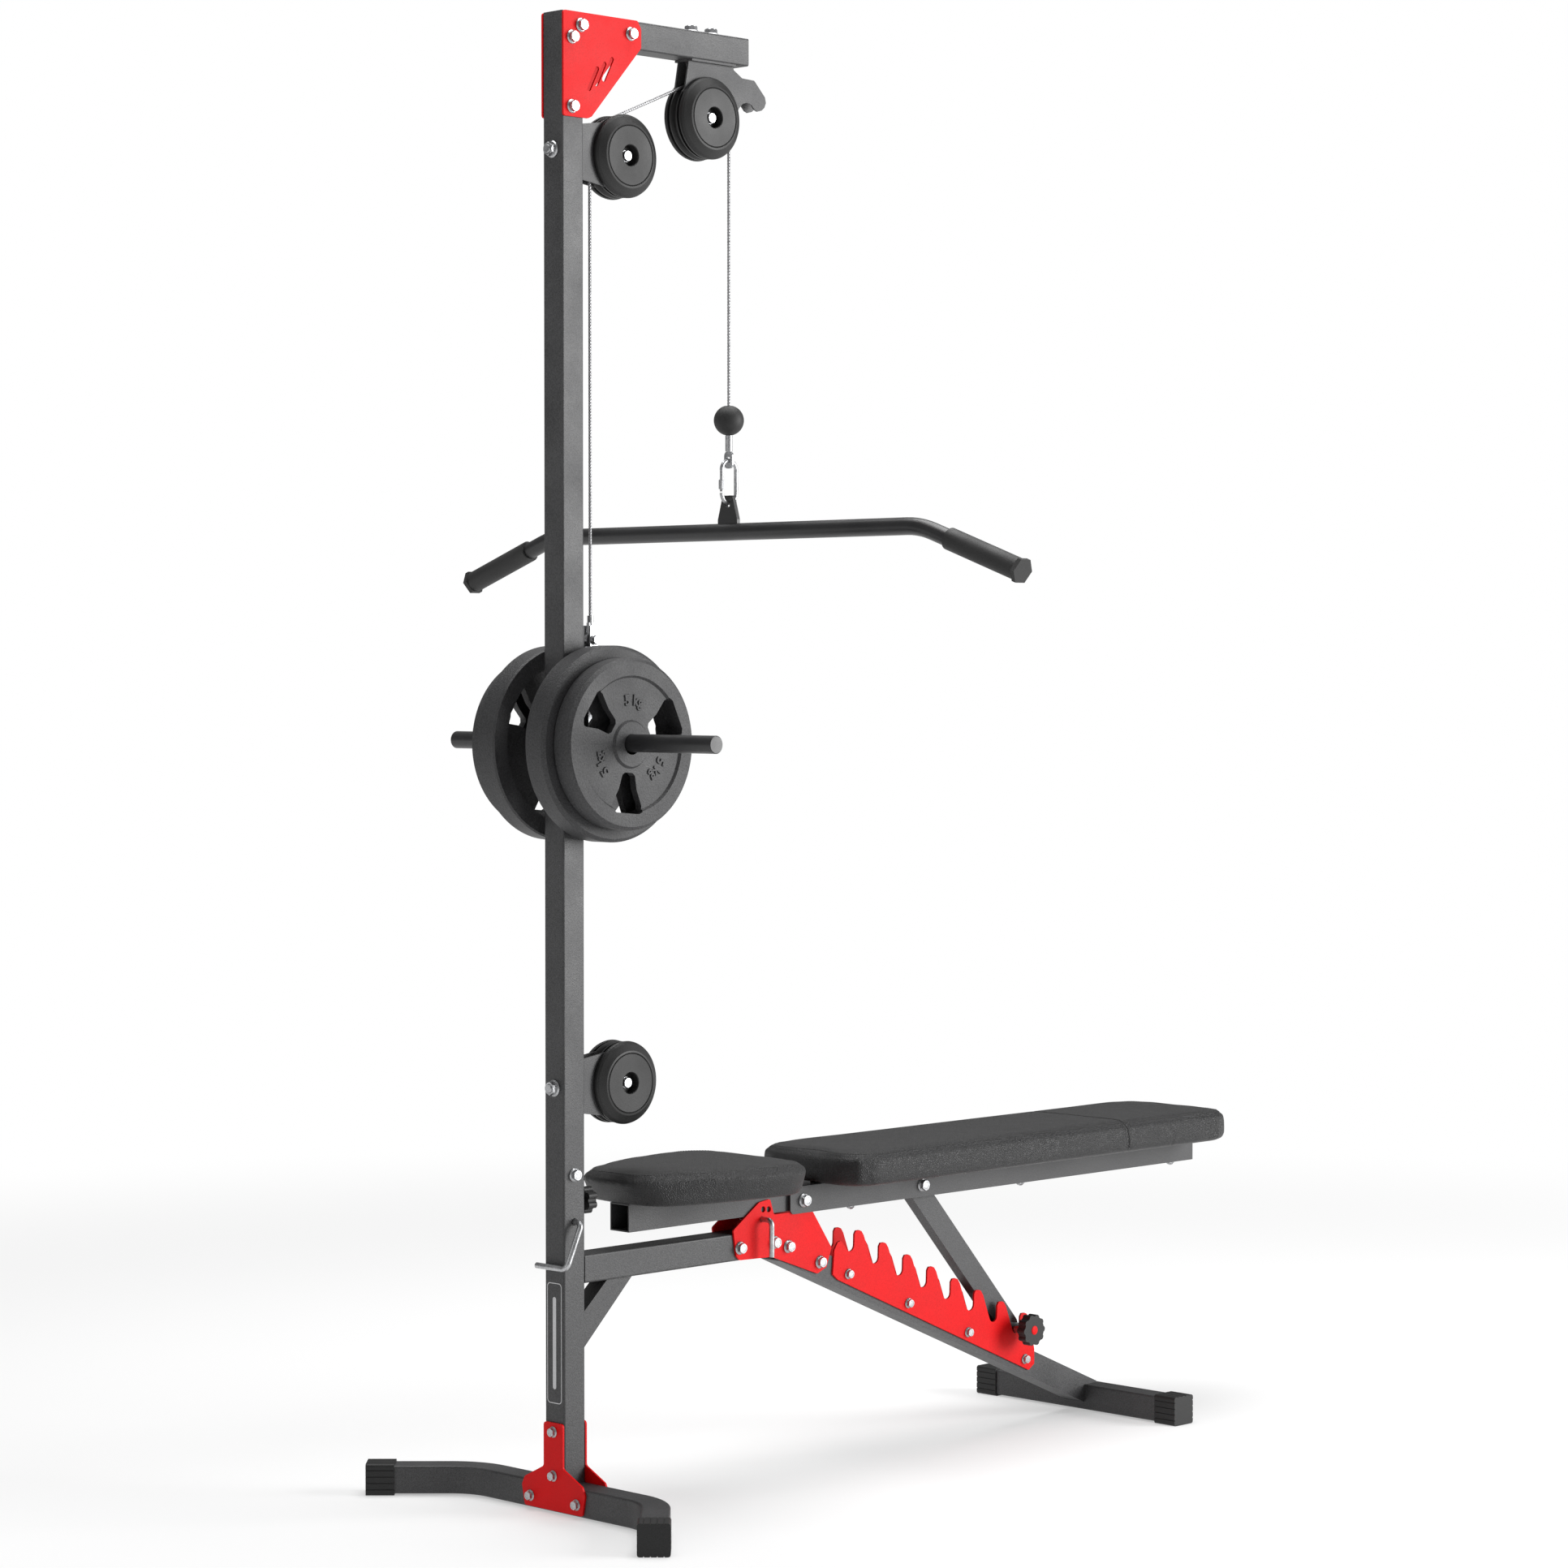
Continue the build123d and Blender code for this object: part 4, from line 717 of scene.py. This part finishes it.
# %% Blow it up with cloth
def inflate(slab, cap, frames=20):
    rest = np.array([v.co for v in slab.data.vertices], float)
    floor_z = rest[:, 2].min() + 0.006
    held = slab.vertex_groups.new(name="board")
    held.add([i for i, p in enumerate(rest) if p[2] < floor_z], 1.0, "REPLACE")
    cloth = slab.modifiers.new("cover", "CLOTH")
    cloth.settings.use_pressure = True
    cloth.settings.uniform_pressure_force = 1.0
    cloth.settings.vertex_group_mass = "board"
    cloth.settings.tension_stiffness = cloth.settings.compression_stiffness = 15
    cloth.settings.effector_weights.gravity = 0
    for number in range(1, frames + 1):
        scene.frame_set(number)
    blown = bpy.data.meshes.new_from_object(slab.evaluated_get(bpy.context.evaluated_depsgraph_get()))
    moved = np.array([v.co for v in blown.vertices], float) - rest
    slab.modifiers.clear()
    scene.frame_set(1)
    # Tight leatherette has no ripples: even the push out over neighbouring points, then let
    # it level off gently as it nears the cap.
    ends = np.array([e.vertices[:] for e in slab.data.edges])
    count = np.bincount(ends.ravel(), minlength=len(rest))[:, None]
    for _ in range(6):
        total = np.zeros_like(moved)
        np.add.at(total, ends[:, 0], moved[ends[:, 1]])
        np.add.at(total, ends[:, 1], moved[ends[:, 0]])
        moved = 0.4 * moved + 0.6 * total / count
    reach = np.linalg.norm(moved, axis=1)
    moved *= (cap * np.tanh(reach / cap) / np.maximum(reach, 1e-9))[:, None]
    slab.data.vertices.foreach_set("co", (rest + moved).astype(np.float32).ravel())
    slab.data.update()
    smooth = slab.modifiers.new("finer", "SUBSURF")
    smooth.levels = smooth.render_levels = 1
    fine = bpy.data.meshes.new_from_object(slab.evaluated_get(bpy.context.evaluated_depsgraph_get()))
    slab.modifiers.clear()
    slab.data = fine
    for face in fine.polygons:
        face.use_smooth = True
    print(slab.name, "moved up to", round(min(reach.max(), cap) * 1000, 1), "mm, now", len(fine.polygons), "faces")
    return slab


# %% [markdown]
# Seams come after the cloth, because remeshing would wipe them out. A seam pulls the cover in,
# so each one is a narrow valley pressed along a plane through the pad: a level plane for the
# seam that runs round under the top edge, and upright planes for the seams across the back.

# %% Press the seams in
def press_seam(pad, point, normal, depth, width, low=-9.0):
    mesh = pad.data
    co = np.array([v.co for v in mesh.vertices], float)
    normals = np.array([v.normal for v in mesh.vertices], float)
    way = np.array(normal, float)
    away = (co - np.array(point)) @ way
    facing = 1 - np.abs(normals @ way)
    pull = depth * np.exp(-(away / width) ** 2) * np.clip(facing * 1.4, 0, 1) * (co[:, 2] > low)
    mesh.vertices.foreach_set("co", (co - normals * pull[:, None]).astype(np.float32).ravel())
    mesh.update()


def cut_line(pad, point, normal):
    """The pad's outline where a plane cuts it, as an ordered loop of (point, outward direction)."""
    shape = bmesh.new()
    shape.from_mesh(pad.data)
    everything = shape.verts[:] + shape.edges[:] + shape.faces[:]
    cut = bmesh.ops.bisect_plane(shape, geom=everything, dist=1e-7, plane_co=point, plane_no=normal)["geom_cut"]
    edges = {e for e in cut if isinstance(e, bmesh.types.BMEdge)}
    start = next(iter(sorted({v for e in edges for v in e.verts}, key=lambda v: (v.co.x, v.co.y, v.co.z))))
    loop, used, vert = [start], set(), start
    while True:
        onward = [e for e in vert.link_edges if e in edges and e not in used]
        if not onward:
            break
        used.add(onward[0])
        vert = onward[0].other_vert(vert)
        if vert is start:
            break
        loop.append(vert)
    line = [(v.co.copy(), v.normal.copy()) for v in loop]
    shape.free()
    return line


def along_line(line, pitch, closed=True):
    """Evenly spaced (point, tangent, outward direction) along a line."""
    points = np.array([p for p, _ in line] + ([line[0][0]] if closed else []), float)
    outward = np.array([n for _, n in line] + ([line[0][1]] if closed else []), float)
    run = np.concatenate([[0], np.cumsum(np.linalg.norm(np.diff(points, axis=0), axis=1))])
    count = max(2, int(run[-1] / pitch))
    spots = []
    for number in range(count):
        here = run[-1] * (number + 0.5) / count
        where = [np.interp(here, run, points[:, k]) for k in range(3)]
        ahead = [np.interp(min(here + pitch * 0.4, run[-1]), run, points[:, k]) for k in range(3)]
        out = [np.interp(here, run, outward[:, k]) for k in range(3)]
        spots.append((Vector(where), (Vector(ahead) - Vector(where)).normalized(), Vector(out).normalized()))
    return spots


# %% [markdown]
# Stitches are short dashes of thread, sunk at both ends. Each is a small six-sided bead, drawn
# once and placed every few millimetres beside the seam by the same tree as the bolts.

# %% Sew the stitches
STITCH_PITCH = 0.0042
SEAM_DROP = 0.0085
STITCH_ABOVE_SEAM = 0.0034
THREAD_WIDTH = 0.0030
stitch_rings = round_rings([(-0.5, 0.10), (-0.34, 0.20), (0, 0.24), (0.34, 0.20), (0.5, 0.10)])
stitch_shape = new_mesh_object("stitch_drawing", *stack_rings(stitch_rings, 6))


def sew(name, spots, body):
    places = [(where + out * 0.00010, ahead, (THREAD_WIDTH, THREAD_WIDTH, STITCH_PITCH * 0.78)) for where, ahead, out in spots]
    mesh = place_copies(name, places, stitch_shape, 1.0, thread)
    row = bpy.data.objects.new(name, mesh)
    scene.collection.objects.link(row)
    for face in mesh.polygons:
        face.use_smooth = True
    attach(row, body)
    print(name, len(spots), "stitches")
    return row


# %% [markdown]
# The seat is a rounded wedge that narrows towards the knees. Its cover is a top panel and a
# side band, joined by one seam a few millimetres below the top edge.

# %% Make the seat pad
seat_low, seat_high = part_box("seat_pad")
seat_pad = inflate(slab_from("seat_pad", "seat_cushion", 0.0022, 0.005), 0.0032)
seat_seam = (0, 0, seat_high.z - SEAM_DROP)
press_seam(seat_pad, seat_seam, (0, 0, 1), 0.0028, 0.0024)
press_seam(seat_pad, (0, 0, seat_low.z + 0.004), (0, 0, 1), 0.0010, 0.0040)
seat_pad.data.materials.append(leatherette)
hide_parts("seat_pad")
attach(seat_pad, "seat")
seat_line = cut_line(seat_pad, (0, 0, seat_seam[2] + STITCH_ABOVE_SEAM), (0, 0, 1))
sew("seat_stitches", along_line(seat_line, STITCH_PITCH), "seat")

# %% [markdown]
# The back pad is a long slab with the same seam round its edge. Towards its head a separate
# panel is let in, so a seam crosses the top and both walls, and a second one shows only on the
# walls where the side band is pieced together.

# %% Make the back pad
back_low, back_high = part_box("back_pad")
back_pad = inflate(slab_from("back_pad", "back_cushion", 0.0022, 0.006), 0.0032)
back_seam_z = back_high.z - SEAM_DROP
head_seam_x, band_seam_x = back_high.x - 0.270, back_high.x - 0.159
press_seam(back_pad, (0, 0, back_seam_z), (0, 0, 1), 0.0028, 0.0026)
press_seam(back_pad, (head_seam_x, 0, 0), (1, 0, 0), 0.0032, 0.0028, low=back_low.z + 0.008)
co = np.array([v.co for v in back_pad.data.vertices], float)
band_only = co[:, 2] < back_seam_z - 0.002
normals = np.array([v.normal for v in back_pad.data.vertices], float)
pull = 0.0010 * np.exp(-((co[:, 0] - band_seam_x) / 0.0022) ** 2) * band_only
back_pad.data.vertices.foreach_set("co", (co - normals * pull[:, None]).astype(np.float32).ravel())
back_pad.data.update()
back_pad.data.materials.append(leatherette)
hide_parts("back_pad")
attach(back_pad, "backrest")
back_line = cut_line(back_pad, (0, 0, back_seam_z + STITCH_ABOVE_SEAM), (0, 0, 1))
sew("back_edge_stitches", along_line(back_line, STITCH_PITCH), "backrest")
for offset, label in ((-0.0036, "a"), (0.0036, "b")):
    cross_line = cut_line(back_pad, (head_seam_x + offset, 0, 0), (1, 0, 0))
    across = [s for s in along_line(cross_line, STITCH_PITCH) if s[0].z > back_low.z + 0.010]
    sew("back_cross_stitches_" + label, across, "backrest")
bpy.data.objects.remove(stitch_shape)

# %% [markdown]
# ## Weight plates
# Cast plates carry their weight in raised figures on the sunk panel between the hub and the
# rim. Text objects give the figures. Each one is made a mesh, bent to its place on a circle,
# and set on the panel, whose depth is found by shining a ray at the plate.

# %% Cast the figures
def plate_face(node):
    shape = bmesh.new()
    shape.from_mesh(frame["nodes"][node].data)
    tree = BVHTree.FromBMesh(shape)
    shape.free()
    return tree


def figures(node, body, words, ring, height, outward, turns):
    low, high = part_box(node)
    centre_x, centre_z = (low.x + high.x) / 2, (low.z + high.z) / 2
    tree = plate_face(node)
    points, faces = [], []
    for turn in turns:
        text = bpy.data.curves.new("figures", "FONT")
        text.body, text.size, text.align_x = words, height, "CENTER"
        text.extrude, text.bevel_depth, text.bevel_resolution = 0.0009, 0.0005, 1
        text.offset = height * 0.012
        holder = bpy.data.objects.new("figures", text)
        scene.collection.objects.link(holder)
        flat = bpy.data.meshes.new_from_object(holder.evaluated_get(bpy.context.evaluated_depsgraph_get()))
        bpy.data.objects.remove(holder)
        middle = math.radians(turn)
        start = len(points)
        for vert in flat.vertices:
            angle = middle - vert.co.x / ring * (1 if outward < 0 else 1)
            reach = ring + vert.co.y - height * 0.35
            x = reach * math.cos(angle) * (1 if outward < 0 else -1)
            z = reach * math.sin(angle)
            hit = tree.ray_cast(Vector((centre_x + x, outward * 0.4, centre_z + z)), Vector((0, -outward, 0)))[0]
            surface = hit.y if hit else high.y
            points.append((centre_x + x, surface + outward * (vert.co.z + 0.0004), centre_z + z))
        faces += [[start + i for i in f.vertices] for f in flat.polygons]
        bpy.data.meshes.remove(flat)
    piece = new_mesh_object(node + "_figures", points, faces)
    shape = bmesh.new()
    shape.from_mesh(piece.data)
    bmesh.ops.remove_doubles(shape, verts=shape.verts, dist=2e-5)
    bmesh.ops.recalc_face_normals(shape, faces=shape.faces)
    shape.to_mesh(piece.data)
    shape.free()
    piece.data.materials.append(cast_paint)
    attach(piece, body)
    print(piece.name, len(piece.data.polygons), "faces")
    return piece


for side, outward in (("near", -1), ("far", 1)):
    figures(side + "_small_plate", side + "_small", "5 kg", 0.062, 0.021, outward, (85, 205, -35))

# %% [markdown]
# ## Small finishing pieces
# The round knob on the catch bar has a small, slightly domed red disc let into its face. It is
# turned like the bolt heads, but about the bench's cross axis.

# %% Inlay the knob
knob_low, knob_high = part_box("catch_knob")
knob_x, knob_z = (knob_low.x + knob_high.x) / 2, (knob_low.z + knob_high.z) / 2
disc_profile = [(-0.0010, 0.0070), (0.0002, 0.0070), (0.0007, 0.0066), (0.0010, 0.0056), (0.0013, 0.0040), (0.0014, 0.0016)]
disc_points, disc_faces = stack_rings(round_rings(disc_profile), 48)
turned = [(knob_x + x, knob_low.y - z, knob_z + y) for x, y, z in disc_points]
knob_inlay = new_mesh_object("knob_inlay", turned, disc_faces)
for face in knob_inlay.data.polygons:
    face.use_smooth = True
knob_inlay.data.materials.append(red_coat)
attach(knob_inlay, "support_knob")
print("inlay is", round((turned[0][0] - knob_x) * 2000, 1), "mm across")

# %% [markdown]
# The snap hook's gate carries a knurled sleeve that a thumb can grip. It is a short tube whose
# radius ripples with the angle, turned up finely enough to catch the light.

# %% Fit the gate sleeve
gate_low, gate_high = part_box("snap_hook_gate")
gate_x = (gate_low.x + gate_high.x) / 2


def knurl_at(radius):
    return lambda angle: radius + 0.00016 * math.cos(16 * angle)


knurled = [(0.0012, knurl_at(0.0043)), (0.0130, knurl_at(0.0043))]
sleeve_rings = round_rings([(0.0, 0.0034), (0.0004, 0.0042)]) + knurled + round_rings([(0.0138, 0.0042), (0.0142, 0.0034)])
sleeve_points, sleeve_faces = stack_rings(sleeve_rings, 64)
sleeve_z = gate_low.z + 0.003
sleeve_placed = [(gate_x + x, y, sleeve_z + z) for x, y, z in sleeve_points]
gate_sleeve = new_mesh_object("gate_sleeve", sleeve_placed, sleeve_faces)
gate_sleeve.data.materials.append(zinc)
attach(gate_sleeve, "hook_gate")
print("sleeve starts", round(sleeve_z * 1000), "mm above the floor")

# %% [markdown]
# Low on the back of the post is a printed label. Here it is a plain pale frame with a stripe,
# with no words, and as thin as a sticker.

# %% Stick the label on
label_x = post_low.x - 0.00015


def rounded_loop(half_wide, low, high, corner):
    loop = []
    side, top, bottom = half_wide - corner, high - corner, low + corner
    for centre_y, centre_z, start in ((side, top, 0), (-side, top, 90), (-side, bottom, 180), (side, bottom, 270)):
        for step in range(7):
            angle = math.radians(start + step * 15)
            loop.append((label_x, centre_y + corner * math.cos(angle), centre_z + corner * math.sin(angle)))
    return loop


def sticker(outer, inner=None):
    count = len(outer)
    if inner:
        return outer + inner, [(k, count + k, count + (k + 1) % count, (k + 1) % count) for k in range(count)]
    return outer, [tuple(reversed(range(count)))]


frame_points, frame_faces = sticker(rounded_loop(0.0150, 0.156, 0.326, 0.006),
                                    rounded_loop(0.0138, 0.1572, 0.3248, 0.0048))
stripe_points, stripe_faces = sticker(rounded_loop(0.0035, 0.176, 0.306, 0.0034))
stripe_faces = [tuple(len(frame_points) + i for i in face) for face in stripe_faces]
post_label = new_mesh_object("post_label", frame_points + stripe_points, frame_faces + stripe_faces)
post_label.data.materials.append(label_paint)
backing = post_label.modifiers.new("thickness", "SOLIDIFY")
backing.thickness = 0.00012
backing.offset = 0
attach(post_label, "frame")
print("label faces back:", post_label.data.polygons[0].normal.x < 0)
